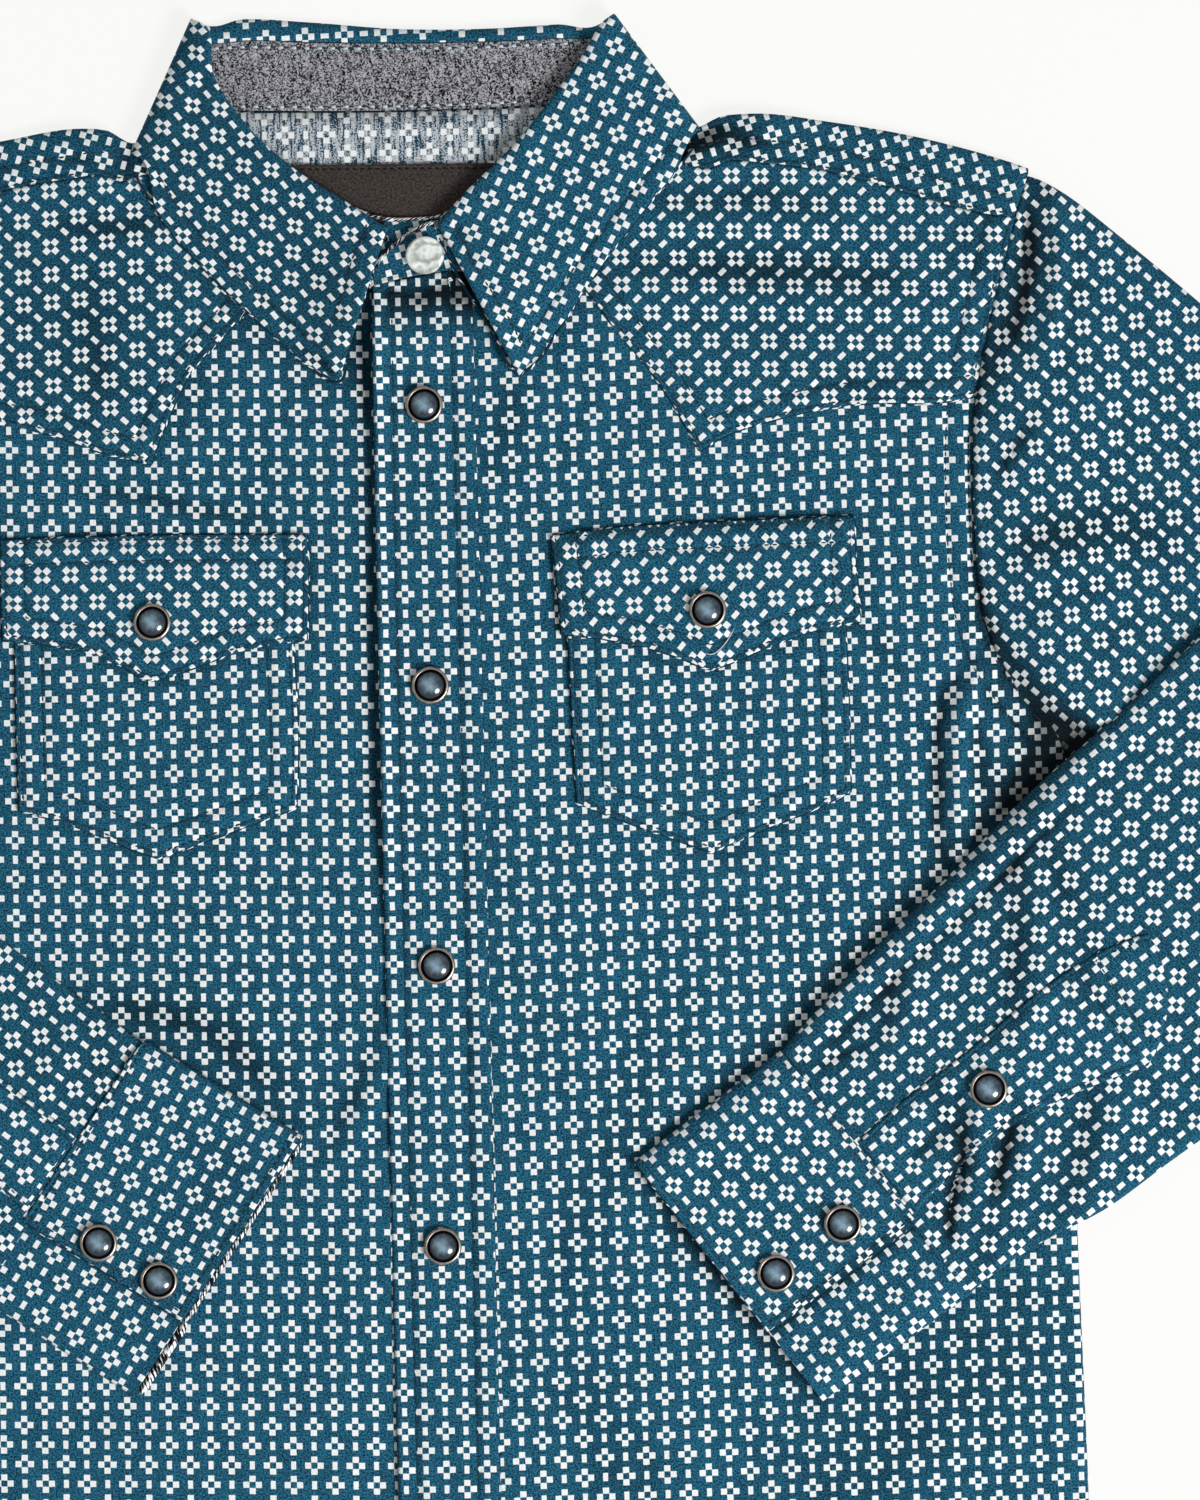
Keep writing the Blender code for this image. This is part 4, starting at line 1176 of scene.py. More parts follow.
# Painted shade on the forearm's top layer and its placket, in the pleats and folds
FOREARM_SHADE = {
    "left": (
        (((177, 66), (171, 42), (172, 20), (169, 2), (163, -20)), 4.6, 0.34),
        (((177, 64), (184, 38), (193, 12)), 3.8, 0.26),
        (((193, 20), (191.5, 8), (194, -4)), 5, 0.32),
        (((137, 18), (133.5, 4), (129, -12)), 3.6, 0.3),
        (((122, -2), (114, -12), (104, -16)), 5, 0.22),
        (((145, -16), (149, -31), (152, -43), (149.5, -55), (146, -70)), 3.1, 0.72),
        (((171, -22), (167.5, -36), (164, -48), (162, -58)), 3.3, 0.42),
        (((166, -46), (160.5, -64), (158, -80)), 4, 0.25),
        (((193, -16), (188.5, -42), (178, -68)), 5.5, 0.28),
        (((150, 47), (163, 43), (172, 34)), 5, 0.2),
    ),
    "right": (
        (((-104, 8), (-99, -12), (-102, -34)), 4, 0.2),
    ),
}
FOREARM_CREASES = {
    "left": (
        (((216, 92), (180, 61), (150, 32.5), (122, 7), (102, -13)), 3.6, 2.7),
        (((192, 68), (164, 40), (136, 14), (112, -8)), 1.7, 1.1),
        (((188.5, 62.5), (159.5, 34), (130.5, 7.5), (112, -11.5)), 1.7, -1.3),
        (((151, -21), (153.8, -34), (152.8, -44), (149.8, -53), (149.5, -68)), 1.7, -2.8),
        (((156, -22), (158.6, -35), (158, -46), (155.5, -62)), 2.4, 1.5),
        (((145.5, -24), (148.5, -38), (146.5, -50), (144.5, -66)), 2.2, 1.1),
        (((175.5, -26), (172.5, -39), (169, -52)), 3.6, 1.6),
        (((169.5, -28), (165.5, -42), (162.5, -54)), 2.6, -1),
        (((198, -18), (194, -42), (184, -66)), 5, 1.4),
        (((181, 62), (176.5, 40), (177, 19), (174, 0), (168, -18)), 5, 1.3),
        (((141, 17), (138, 4), (134, -12)), 3.6, 1.2),
        (((128, -8), (118, -12), (109, -16)), 1.6, -0.9),
        (((137, -44), (146, -36), (156, -33)), 1.8, -1.2),
        (((196, 10), (176, 30), (160, 36)), 9, 0.8),
        (((150, 14), (140, -2), (128, -12)), 6, 0.6),
        (((206, -22), (194, -40), (186, -56)), 6, 0.8),
    ),
    "right": (
        (((-172, 58), (-146, 34), (-120, 14), (-96, 0)), 2.2, 0.5),
        (((-104, 6), (-112, -8), (-122, -22)), 4, 0.6),
        (((-150, -10), (-142, -30), (-132, -50)), 6, 0.8),
    ),
}


def sleeve_sections(side):
    """Each section from armhole to cuff: outer edge, under edges of both layers, heights and puff.

    At the elbow's fold a section stands upright, and its two edges hold an x for each layer and one y.
    """
    sections = []
    for edge_x, edge_y, under_x, under_y, low_x, low_y, puff in UPPER_ARM:
        sections.append(((edge_x, edge_y), (under_x, under_y), (low_x, low_y), level(0), level(1), puff))
    middle_low = (level(0) + level(1)) / 2
    middle_high = FOLDED_SLEEVE + LAYER / 2
    radius = (middle_high - middle_low) / 2
    fold_x = HALF_SPAN - radius - 1.15
    for angle in (0, 45, 90, 135, 180):
        a = math.radians(angle)
        inner, outer = radius - LAYER / 2, radius + LAYER / 2
        x_in, x_out = fold_x + inner * math.sin(a), fold_x + outer * math.sin(a)
        z_in, z_out = middle_low + radius - inner * math.cos(a), middle_low + radius - outer * math.cos(a)
        sections.append(((x_out, x_in, ELBOW_TOP), None, (x_out, x_in, ELBOW_FOOT), z_out, z_in, 0.0))
    for edge_x, edge_y, under_x, under_y, base, puff in FOREARM[side]:
        sections.append(((edge_x, edge_y), (under_x, under_y), (under_x, under_y), base + LAYER, base, puff))
    return sections


def sleeve_layer(section, at_armhole, outside):
    """One layer of a sleeve's section, from its outer edge to its under edge."""
    edge, under, low, z_out, z_in, puff = section
    z = z_out if outside else z_in
    points = []
    for share in SLEEVE_SHARES:
        if under is None:
            points.append((edge[0 if outside else 1], edge[2] + (low[2] - edge[2]) * share, z))
            continue
        end = low if outside else under
        x, y = edge[0] + (end[0] - edge[0]) * share, edge[1] + (end[1] - edge[1]) * share
        if at_armhole:
            x = float(side_x(y)) - 0.3
        on_top = outside == (z_out > z_in)
        bulge = puff * (4 * share * (1 - share)) ** 0.7
        bulge += UNDERARM_RISE.get(edge[0], 0.0) * max(0.0, (share - 0.72) / 0.28) ** 1.5
        points.append((x, y, z + on_top * bulge))
    return points


sleeves = {}
for side, sign in SIDES:
    ribs = []
    sections = sleeve_sections(side)
    for number, section in enumerate(sections):
        inner = sleeve_layer(section, number == 0, False)
        outer = sleeve_layer(section, number == 0, True)
        start = tuple((a + b) / 2 for a, b in zip(inner[0], outer[0]))
        end = tuple((a + b) / 2 for a, b in zip(inner[-1], outer[-1]))
        out = 0.5 if section[1] is not None else 0.0
        top_edge = (start[0], start[1] + out, start[2])
        under_edge = (end[0], end[1] - out, end[2])
        ribs.append([top_edge, *inner, under_edge, *reversed(outer)])
    ribs = refined(ribs, 2.0)
    rows, columns = ribs.shape[:2]
    points = ribs.reshape(-1, 3) * (sign, 1, 1)
    row = np.repeat(np.arange(rows), columns)
    elbow = int(np.argmax(abs(ribs[:, 5, 0])))
    forearm = row > elbow
    layer = len(SLEEVE_SHARES)
    column = np.tile(np.arange(columns), rows)
    top_layer = np.where(forearm, column > layer + 1, (column > 0) & (column <= layer))
    plan = points[:, :2]
    relief = rumpled(points, 61.0 + sign, 0.45)
    upper = creased(plan * (sign, 1), UPPER_ARM_CREASES)
    folded = creased(plan, FOREARM_CREASES[side])
    nearness = np.clip((abs(points[:, 0]) - HALF_SPAN + 24) / 12, 0, 1)
    seam_ease = np.clip(row / 1.6, 0, 1) * np.clip((rows - 1 - row) / 2.0, 0, 1)
    folds = np.where(forearm, folded, upper * seam_ease) * (1 - nearness)
    points[:, 2] += np.where(top_layer, folds + relief * seam_ease, 0)
    faces = woven_faces(rows, columns, ring=True)
    if sign < 0:
        faces = [face[::-1] for face in faces]
    centre, weft, warp, motif = UPPER_ARM_PRINT
    on_upper_arm = printed(plan, (sign * centre[0], centre[1]), sign * weft, sign * warp, motif)
    on_forearm = printed(plan, *FOREARM_PRINT[side]) * (-1, 1)
    elbow_place = elbow * columns + layer // 2
    shift = np.round(on_upper_arm[elbow_place] - on_forearm[elbow_place])
    shift[0] += shift.sum() % 2
    share = np.clip((row - elbow) / 30 + 0.5, 0, 1)[:, None]
    print_at = on_upper_arm * (1 - share) + (on_forearm + shift) * share
    # Painted shade: a little all over the sleeve, and more along the strokes
    upper_arm_shade = creased(plan * (sign, 1), UPPER_ARM_SHADE)
    upper_sleeve_shade = np.where(top_layer, upper_arm_shade, creased(plan * (sign, 1), UNDERARM_SHADE))
    depth = np.where(forearm, top_layer * creased(plan, FOREARM_SHADE[side]), upper_sleeve_shade)
    sleeve = make_mesh(side + "_sleeve_tube", points, faces, print_at, [PRINT, REVERSE], depth=0.13 + depth)
    sleeves[side] = sleeve
    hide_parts(side + "_sleeve")
    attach(sleeve, "root")

# ------------------------------------------------------------------------------
# Sleeve plackets. A narrow bound slit in each sleeve that runs up from the cuff, edge stitched, boxed at its
# top and closed by one snap.

SLEEVE_PLACKET_PRINT = {
    "left": ((165.9, -24.0), -52.4, -52.7, (6.0, 5.68)),
    "right": ((-150.0, -12.0), 52.0, 52.0),
}
sleeve_placket_sides = {
    "left": (
        [(122.6, -37.2), (138.9, -58.6)],
        [(138.9, -58.6), (156.8, -40.6), (176.8, -28.2), (196.6, -20.3), (208.0, -16.5)],
        [(208.0, -16.5), (214.0, 2.0), (209.0, 22.0)],
        [(209.0, 22.0), (197.5, 18.2), (177.5, 6.3), (157.5, -9.7), (135.9, -25.7), (122.6, -37.2)],
    ),
    "right": (
        [(-107.6, -30.4), (-122.6, -51.9)],
        [(-122.6, -51.9), (-140.5, -35.0), (-160.0, -22.5), (-180.0, -14.0), (-191.0, -10.0)],
        [(-191.0, -10.0), (-197.0, 8.0), (-192.0, 27.0)],
        [(-192.0, 27.0), (-180.0, 22.0), (-160.0, 10.5), (-140.0, -4.5), (-120.0, -20.0), (-107.6, -30.4)],
    ),
}
sleeve_placket_sewing = {}
for side, sign in SIDES:
    edges = sleeve_placket_sides[side]
    if sign < 0:
        edges = [edge[::-1] for edge in edges[::-1]]
    top_of_sleeve = surface_of(sleeves[side])
    upper_line = eased(edges[3] if sign > 0 else edges[0], 1.6)
    free_line = eased(edges[1] if sign > 0 else edges[2], 1.6)
    sleeve_placket_sewing[side] = [beside(upper_line, 1.6), beside(free_line, 1.6)]
    for start, end in (((188.4, 11.6), (203.0, -12.0)), ((193.6, 14.6), (208.2, -9.0))):
        sleeve_placket_sewing[side].append(either_side(sign, np.linspace(start, end, 20)))
    sleeve_placket, cut_area = laid_panel(
        side + "_sleeve_placket_band",
        edges,
        lambda p: np.array([top_of_sleeve(x, y, 5.0) for x, y in p]) + 0.75,
        lambda p: printed(p, *SLEEVE_PLACKET_PRINT[side]),
        [PRINT, REVERSE],
        sewing=sleeve_placket_sewing[side],
        spacing=1.8,
        roll=0.5,
        painted_shade=FOREARM_SHADE[side],
    )
    edge_shade_roll(side + "_sleeve_placket_edge", [upper_line, free_line], sleeve_placket)
    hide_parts(side + "_sleeve_placket")
    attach(sleeve_placket, "root")

# ------------------------------------------------------------------------------
# Cuffs. Stiffened bands of the print with their grain round the wrist, faced inside with grey chambray. Each
# is snapped shut flat, one end lapped over the other.

# A cuff's corners: at its seam, up and low, then at its free end, up and low
CUFF_CORNERS = {
    "left": ((100.6, -10.1), (155.1, -82.1), (56.9, -41.8), (110.4, -113.0)),
    "right": ((86.6, -2.6), (137.8, -76.2), (40.6, -32.0), (91.8, -106.9)),
}
# How far across the cuff its upper end laps
LAP_SHARE = 0.71
# The height of the lowest layer, and two heights between it and the layer under the lap
CUFF_BASE = 3.1
OVER_BASE, UNDER_LAP = 4.2, 4.3
# A cuff in section, from the end that laps over, round the wrist, to the end under it: the share across it
# and the number of layers above its base
CUFF_SECTION = (
    (LAP_SHARE, 2.0), (0.57, 2.0), (0.4, 2.0), (0.2, 2.0), (0.03, 2.0), (0.0, 1.0), (0.03, 0.0), (0.25, 0.0),
    (0.5, 0.0), (0.75, 0.0), (0.985, 0.0), (1.0, 0.5), (0.985, 1.0), (0.8, 1.0), (0.48, 1.0),
)
CUFF_PRINT = {
    "left": ((92.9, -51.0), 38.6, 38.0, (6.04, 5.74)),
    "right": ((-72.5, -48.4), -30.6, -31.2, (6.07, 5.69)),
}
# Painted shade on the cuffs, along the lapped end, by the snap and beside the opening
CUFF_SHADE = {
    "left": (
        (((145, -56.5), (126, -70.5), (111, -81.5), (92, -95.5)), 2.2, 0.7),
        (((110, -52), (113.5, -60.5), (122, -64)), 2.8, 0.5),
        (((112, -112), (132, -100), (156, -84)), 3, 0.2),
    ),
    "right": (
        (((-60, -30), (-66, -46), (-82, -66)), 8, 0.2),
        (((-38, -28), (-56, -55), (-68, -73), (-96, -112)), 2.6, 0.3),
    ),
}
UNDER_CUFF_PRINT = {
    "left": ((132.2, -82.6), 36.0, 35.6, (6.1, 5.6)),
    "right": ((-100.0, -88.0), -33.0, -33.0, (6.07, 5.69)),
}


def crossings(tree, spot, across, down):
    """A value by chance for each crossing of the threads."""
    x, y = split(tree, spot)
    crossing = tree.nodes.new("ShaderNodeCombineXYZ")
    for place, size, socket in ((x, across, "X"), (y, down, "Y")):
        tree.links.new(maths(tree, "FLOOR", maths(tree, "DIVIDE", place, size)), crossing.inputs[socket])
    chance = tree.nodes.new("ShaderNodeTexWhiteNoise")
    chance.noise_dimensions = "2D"
    tree.links.new(crossing.outputs[0], chance.inputs["Vector"])
    return chance.outputs["Value"]


def chambray_cloth(name, dark, pale):
    """Grey chambray: white threads crossing dark ones, which shows as fine salt and pepper."""
    made, tree, shader = new_finish(name, 0.9, sheen=0.03)
    _, spot = cloth_grain(tree)
    x, y = split(tree, spot)
    warp = maths(tree, "SINE", times(tree, x, 10.6))
    weft = maths(tree, "SINE", times(tree, y, 10.2))
    over = times(tree, times(tree, warp, weft), 0.13)
    long_spot = place_maths(tree, "MULTIPLY", spot, (0.9, 0.22, 1.0))
    slubs = times(tree, speckle(tree, long_spot, 1.0, 1.0), 0.7)
    salt = times(tree, crossings(tree, spot, 0.42, 0.34), 0.66)
    mixed = plus(tree, plus(tree, salt, over), slubs)
    tree.links.new(blended(tree, ranged(tree, mixed, 0.47, 0.97), dark, pale), shader.inputs["Base Color"])
    weave(tree, spot, shader, 0.7)
    return made


def folded_chambray(name, dark, pale):
    """The chambray where it is folded sharply: its white and black threads stand out as a twisted cord."""
    made, tree, shader = new_finish(name, 0.85)
    _, spot = cloth_grain(tree)
    x, y = split(tree, spot)
    twist = maths(tree, "SINE", plus(tree, times(tree, x, 5.6), times(tree, y, 2.4)))
    mixed = plus(tree, times(tree, twist, 0.22), crossings(tree, spot, 0.62, 0.62))
    tree.links.new(blended(tree, ranged(tree, mixed, 0.46, 0.8), dark, pale), shader.inputs["Base Color"])
    return made


CHAMBRAY = chambray_cloth("grey_chambray", (0.003, 0.003, 0.006), (0.50, 0.50, 0.54))
CUT_EDGE = folded_chambray("folded_chambray", (0.002, 0.002, 0.004), (0.86, 0.86, 0.88))


def cuff_place(side, across, down):
    """A place on the flat cuff, from its shares across it and down it, from the seam to the free end."""
    seam_up, seam_low, end_up, end_low = (np.array(corner) for corner in CUFF_CORNERS[side])
    start = seam_up + (seam_low - seam_up) * across
    return start + (end_up + (end_low - end_up) * across - start) * down


def cuff_line(side, sign, across, down):
    """A line on the laid cuff, along which its share across or its share down runs on."""
    return np.array([cuff_place(side, *shares) * (sign, 1) for shares in np.broadcast(across, down)])


cuff_sewing = {}
for side, sign in SIDES:
    depths = np.r_[0.0, 0.008, 0.02, np.linspace(0.05, 0.95, 30), 0.98, 0.992, 1.0]
    ribs = []
    for across, layers in CUFF_SECTION:
        ribs.append([(*cuff_place(side, across, down), CUFF_BASE + LAYER * layers) for down in depths])
    ribs = refined(ribs, 2.0)
    rows, columns = ribs.shape[:2]
    points = ribs.reshape(-1, 3) * (sign, 1, 1)
    lapped = np.repeat(np.arange(rows), columns) < np.argmax(ribs[:, 0, 2] < UNDER_LAP)
    lap = cuff_line(side, sign, LAP_SHARE, np.linspace(0, 1, 20))
    opening = cuff_line(side, sign, np.linspace(0, LAP_SHARE, 30), 1.0)
    seam = cuff_line(side, sign, np.linspace(0, LAP_SHARE, 30), 0.0)
    cuff_sewing[side] = [beside(opening, 2.1 * sign), beside(seam, -1.6 * sign), beside(lap, -1.9 * sign)]
    plan = points[:, :2]
    for number, line in enumerate(cuff_sewing[side]):
        points[lapped, 2] += sewn(plan[lapped], line, 2.0 + number, pucker=0.12)
    for line in (opening, lap):
        away, _ = from_line(plan, line, 4)
        points[lapped, 2] -= 0.5 * (1 - np.clip(away[lapped] / 1.3, 0, 1)) ** 2
    points[lapped, 2] += rumpled(points[lapped], 71.0 + sign, 0.2)
    away, _ = from_line(plan, lap, 12)
    points[lapped, 2] += 0.7 * np.exp(-((away[lapped] / 4.5) ** 2))
    under = ~lapped & (points[:, 2] > OVER_BASE)
    points[under, 2] -= 0.8 * np.exp(-((away[under] / 2.0) ** 2))
    apart, _ = from_line(plan, opening, 12)
    points[lapped, 2] += 0.5 * np.exp(-((apart[lapped] / 4.5) ** 2))
    faces = woven_faces(rows, columns)
    if sign > 0:
        faces = [face[::-1] for face in faces]
    print_at = printed(plan, *CUFF_PRINT[side])
    painted_shade = creased(plan, CUFF_SHADE[side])
    cuff = make_mesh(side + "_cuff_band", points, faces, print_at, [PRINT, CHAMBRAY], depth=painted_shade)
    reprinted(cuff, [not lapped[list(f)].all() for f in faces], printed(plan, *UNDER_CUFF_PRINT[side]))
    edge_shade_roll(side + "_cuff_edge", [opening[::sign], seam[::-sign], lap[::-sign]], cuff)
    if side == "right":
        for first, last, wide, z in ((0.02, LAP_SHARE, 0.85, 5.0), (LAP_SHARE, 0.985, 1.35, 3.9)):
            facing = beside(cuff_line(side, sign, np.linspace(first, last, 30), 1.0), 0.9 * wide)
            fold = np.column_stack((facing, np.full(len(facing), z)))
            edging(f"{side}_cuff_facing_{z:.0f}", [fold], CUT_EDGE, thick=wide)
    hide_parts(side + "_cuff")
    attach(cuff, "root")

# ------------------------------------------------------------------------------
# Collar stand. A curved band, the print outside and grey chambray inside, sewn to the neck edge. It is
# flattened with the shirt, so its inside shows at the back of the neck and its outside in front.

NECK = (
    # neck edge x, y, joint x, y, roll x, y, outer edge x, y, and the heights of these four
    (8.0, 221.4, 6.6, 233.6, 5.2, 234.6, 28.1, 190.0, 4.6, 4.9, 6.8, 4.7),
    (24.5, 223.3, 15.8, 242.3, 14.0, 244.0, 40.5, 204.5, 4.4, 5.1, 7.0, 4.7),
    (40.0, 237.2, 30.6, 255.8, 28.5, 257.6, 55.0, 224.5, 4.4, 5.3, 7.2, 4.9),
    (51.5, 248.4, 43.5, 271.2, 41.5, 273.2, 68.0, 240.5, 4.5, 5.3, 7.2, 5.5),
    (58.5, 256.5, 52.1, 282.7, 50.0, 284.5, 76.0, 250.3, 4.6, 5.3, 7.2, 6.0),
    (61.5, 262.5, 55.2, 288.2, 55.7, 293.3, 80.7, 259.2, 4.7, 5.3, 7.2, 6.0),
    (63.5, 268.0, 57.3, 290.3, 58.4, 295.2, 82.9, 260.8, None, None, None, None),
    (60.5, 269.8, 55.0, 289.4, 55.7, 293.3, 80.7, 259.2, 1.8, 2.9, 0.5, 0.5),
    (42.0, 269.6, 40.0, 288.9, 41.0, 292.6, 52.0, 253.2, 1.8, 2.9, 0.5, 0.5),
    (18.0, 269.0, 18.0, 288.4, 18.5, 291.8, 24.0, 251.2, 1.8, 2.9, 0.5, 0.5),
    (-5.0, 268.8, -5.0, 288.6, -5.0, 292.3, -5.0, 250.6, 1.8, 2.9, 0.5, 0.5),
    (-32.0, 269.2, -31.0, 289.4, -31.0, 294.8, -36.0, 251.8, 1.8, 2.9, 0.5, 0.5),
    (-52.0, 269.8, -49.0, 290.3, -50.5, 296.2, -62.0, 254.5, 1.8, 2.9, 0.5, 0.5),
    (-66.0, 270.1, -63.5, 290.0, -62.7, 295.1, -81.7, 256.3, 1.8, 2.9, 0.5, 0.5),
    (-69.0, 268.0, -65.5, 290.8, -65.7, 296.5, -84.2, 257.5, None, None, None, None),
    (-68.3, 265.0, -64.0, 289.6, -62.7, 295.1, -81.7, 256.3, 4.7, 5.3, 7.2, 6.0),
    (-66.6, 260.0, -62.5, 278.8, -60.0, 280.5, -77.0, 240.5, 4.6, 5.3, 7.2, 5.6),
    (-59.5, 251.4, -52.1, 262.8, -50.0, 264.5, -64.0, 224.0, 4.5, 5.3, 7.2, 4.9),
    (-46.5, 239.4, -37.7, 249.1, -36.0, 251.3, -48.5, 208.3, 4.2, 5.2, 7.2, 4.7),
    (-30.0, 225.4, -23.3, 239.9, -22.0, 242.0, -36.0, 196.3, 3.8, 4.8, 7.2, 4.7),
    (-12.0, 216.0, -9.4, 231.6, -9.7, 233.8, -24.8, 189.6, 3.1, 3.4, 7.0, 4.7),
)
STAND_LAP = (
    # neck edge x, y, height, top edge x, y, height
    (-14.9, 217.0, 4.9, -14.4, 220.8, 5.0),
    (-12.5, 217.6, 4.8, -11.2, 225.2, 4.9),
    (-8.0, 218.8, 4.7, -6.0, 230.2, 4.8),
    (0.0, 220.4, 4.7, 2.0, 234.6, 4.8),
)
STAND_UNDERLAP = (
    (-9.0, 215.6, 3.1, -10.5, 236.4, 3.3),
    (-2.0, 214.9, 3.1, -1.0, 236.2, 3.1),
    (13.0, 214.9, 3.1, 8.0, 237.0, 3.1),
)
STAND_PRINT = ((-9.0, 219.0), 14.0, 14.0, (5.75, 6.05))


def quarter(flat, crease):
    """The point halfway round the bend from a flat layer to its crease."""
    half = math.sqrt(0.5)
    x, y = (f + (c - f) * half for f, c in zip(flat[:2], crease[:2]))
    return x, y, crease[2] + (flat[2] - crease[2]) * half


def neck_sections():
    """The stand's and collar's sections as four points each, with each crease turned in a half circle."""
    sections = [[(*row[2 * n : 2 * n + 2], row[8 + n]) for n in range(4)] for row in NECK]
    rounded = []
    for number, section in enumerate(sections):
        if section[0][2] is not None:
            rounded.append(section)
            continue
        before, after = sections[number - 1], sections[number + 1]
        middle = [(x, y, (b[2] + a[2]) / 2) for (x, y, _), b, a in zip(section, before, after)]
        rounded.append([quarter(point, end) for point, end in zip(before, middle)])
        rounded.append(middle)
        rounded.append([quarter(point, end) for point, end in zip(after, middle)])
    return rounded


stand_ribs = [(row[:3], row[3:]) for row in STAND_LAP]
stand_ribs += [(neck, joint) for neck, joint, _, _ in neck_sections()]
stand_ribs += [(row[:3], row[3:]) for row in STAND_UNDERLAP]
stand_ribs = refined(stand_ribs, 1.6)
stand_shares = np.r_[0.0, 0.03, 0.08, np.linspace(0.14, 0.86, 11), 0.92, 0.97, 0.99]
stand_points = np.array([neck + (top - neck) * share for neck, top in stand_ribs for share in stand_shares])
stand_points[:, 2] += rumpled(stand_points, 81.0, 0.12)
in_front = stand_points[:, 2] > 3.8
neck_seam = eased([(-14.0, 218.6), (-7.6, 220.4), (0.2, 222.0), (8.0, 223.0), (14.0, 225.0)], 1.0)
stand_points[in_front, 2] += sewn(stand_points[in_front, :2], neck_seam, 5.0, sink=0.5, pucker=0.3)
stand_faces = [face[::-1] for face in woven_faces(len(stand_ribs), len(stand_shares))]
collar_stand = make_mesh(
    "collar_stand_band",
    stand_points,
    stand_faces,
    printed(stand_points, *STAND_PRINT),
    [PRINT, CHAMBRAY],
    thickness=0.6,
)
collar_stand.modifiers["cloth"].material_offset_rim = 1
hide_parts("collar_stand")
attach(collar_stand, "root")
STAND_RIMS = (
    (
        (-15.0, 216.6, 5.0), (-14.5, 221.0, 5.2), (-12.0, 224.8, 5.2), (-6.2, 230.3, 5.1), (2.0, 234.9, 5.1),
        (5.4, 235.8, 5.1),
    ),
    (
        (-25.0, 243.6, 5.0), (-19.0, 239.9, 4.4), (-10.0, 236.9, 3.8), (-1.1, 236.6, 3.5), (6.8, 237.5, 4.0),
        (12.5, 241.5, 4.8),
    ),
)
edging("collar_stand_edge", STAND_RIMS, CUT_EDGE, thick=0.62)

# ------------------------------------------------------------------------------
# Collar. One interlined fall of the print joined to the top of the stand, rolled over it and down to two
# pointed leaves, edge stitched a presser foot's width inside the edge.

LEAF_PRINT = {
    "left": ((34.4, 228.2), -28.0, -28.4, (6.2, 5.65)),
    "right": ((-36.6, 235.2), 35.2, 39.0, (5.4, 5.81)),
}
LEAF_EDGE = {
    # the outer edge of each leaf from its tip, then its front edge from the tip up
    "left": (
        [
            (28.1, 190.0), (32.9, 193.4), (40.5, 203.9), (48.4, 215.7), (64.1, 235.7), (75.3, 248.9),
            (80.8, 255.6),
        ],
        [(28.1, 190.0), (25.5, 192.7), (21.3, 201.9), (10.5, 220.1), (7.5, 226.6), (4.7, 232.9)],
    ),
    "right": (
        [(-28.0, 189.6), (-33.0, 193.6), (-41.9, 201.9), (-60.4, 219.9), (-74.1, 236.1), (-83.2, 251.6)],
        [
            (-28.0, 189.6), (-24.6, 189.4), (-22.6, 199.7), (-16.3, 215.4), (-14.7, 222.1), (-11.9, 228.0),
            (-9.7, 233.8),
        ],
    ),
}
fall_ribs = np.array([(joint, roll, edge) for _, joint, roll, edge in neck_sections()], float)
fall_ribs = refined(fall_ribs, 1.5)
FROM_EDGE = (0.0, 0.35, 0.9, 1.6, 3.2, 4.9, 5.4, 5.9, 6.4, 7.0)
QUARTER_TURN = [(math.sin(angle), 1 - math.cos(angle)) for angle in np.linspace(0, math.pi / 2, 5)[:-1]]
fall_points = []
for joint, roll, edge in fall_ribs:
    middle = np.array((*roll[:2], (joint[2] + roll[2]) / 2))
    wide = np.linalg.norm(edge[:2] - roll[:2])
    shares = [*np.linspace(0.04, 1 - 8.6 / wide, 24), *(1 - np.array(FROM_EDGE[::-1]) / wide)]
    top = roll + (edge - roll) * shares[0]
    top[2] = edge[2] + (roll[2] - edge[2]) * (1 - shares[0]) ** 1.3
    fall_points += [joint + (middle - joint) * (fast, fast, slow) for fast, slow in QUARTER_TURN]
    fall_points += [middle + (top - middle) * (slow, slow, fast) for fast, slow in QUARTER_TURN]
    for share in shares:
        x, y = roll[:2] + (edge[:2] - roll[:2]) * share
        fall_points.append((x, y, edge[2] + (roll[2] - edge[2]) * (1 - share) ** 1.3))
fall_points = np.array(fall_points)
fall_columns = len(fall_points) // len(fall_ribs)
face_up = (fall_points[:, 2] > 3.2) & (np.tile(np.arange(fall_columns), len(fall_ribs)) > 5)
leaf_sewing, leaf_edges = [], []
plan = fall_points[:, :2]
for side, sign in SIDES:
    outer, front_edge = (eased(line, 1.4) for line in LEAF_EDGE[side])
    around = np.vstack((front_edge[::-1], outer[1:]))
    mine = face_up & (sign * fall_points[:, 0] > (0 if sign > 0 else 3))
    away, _ = from_line(plan, around, 30)
    fall_points[mine, 2] -= 0.25 * (1 - np.clip(away[mine] / 0.9, 0, 1)) ** 2
    leaf_sewing.append(beside(around, 6.0 * sign))
    leaf_edges.append((around, mine))
    fall_points[mine, 2] += sewn(plan[mine], leaf_sewing[-1], 3.0 * sign)
    fall_points[mine, 2] += rumpled(fall_points[mine], 91.0 + sign, 0.4)
    apart, up_front = from_line(plan, front_edge, 40)
    stands_up = np.interp(up_front, (0.0, 18.0, 34.0, 46.0), (0.1, 1.0, 0.9, 0.1))
    fall_points[mine, 2] += (3.6 * np.exp(-((apart / 12.0) ** 2)) * stands_up)[mine]
fall_faces = [face[::-1] for face in woven_faces(len(fall_ribs), fall_columns)]
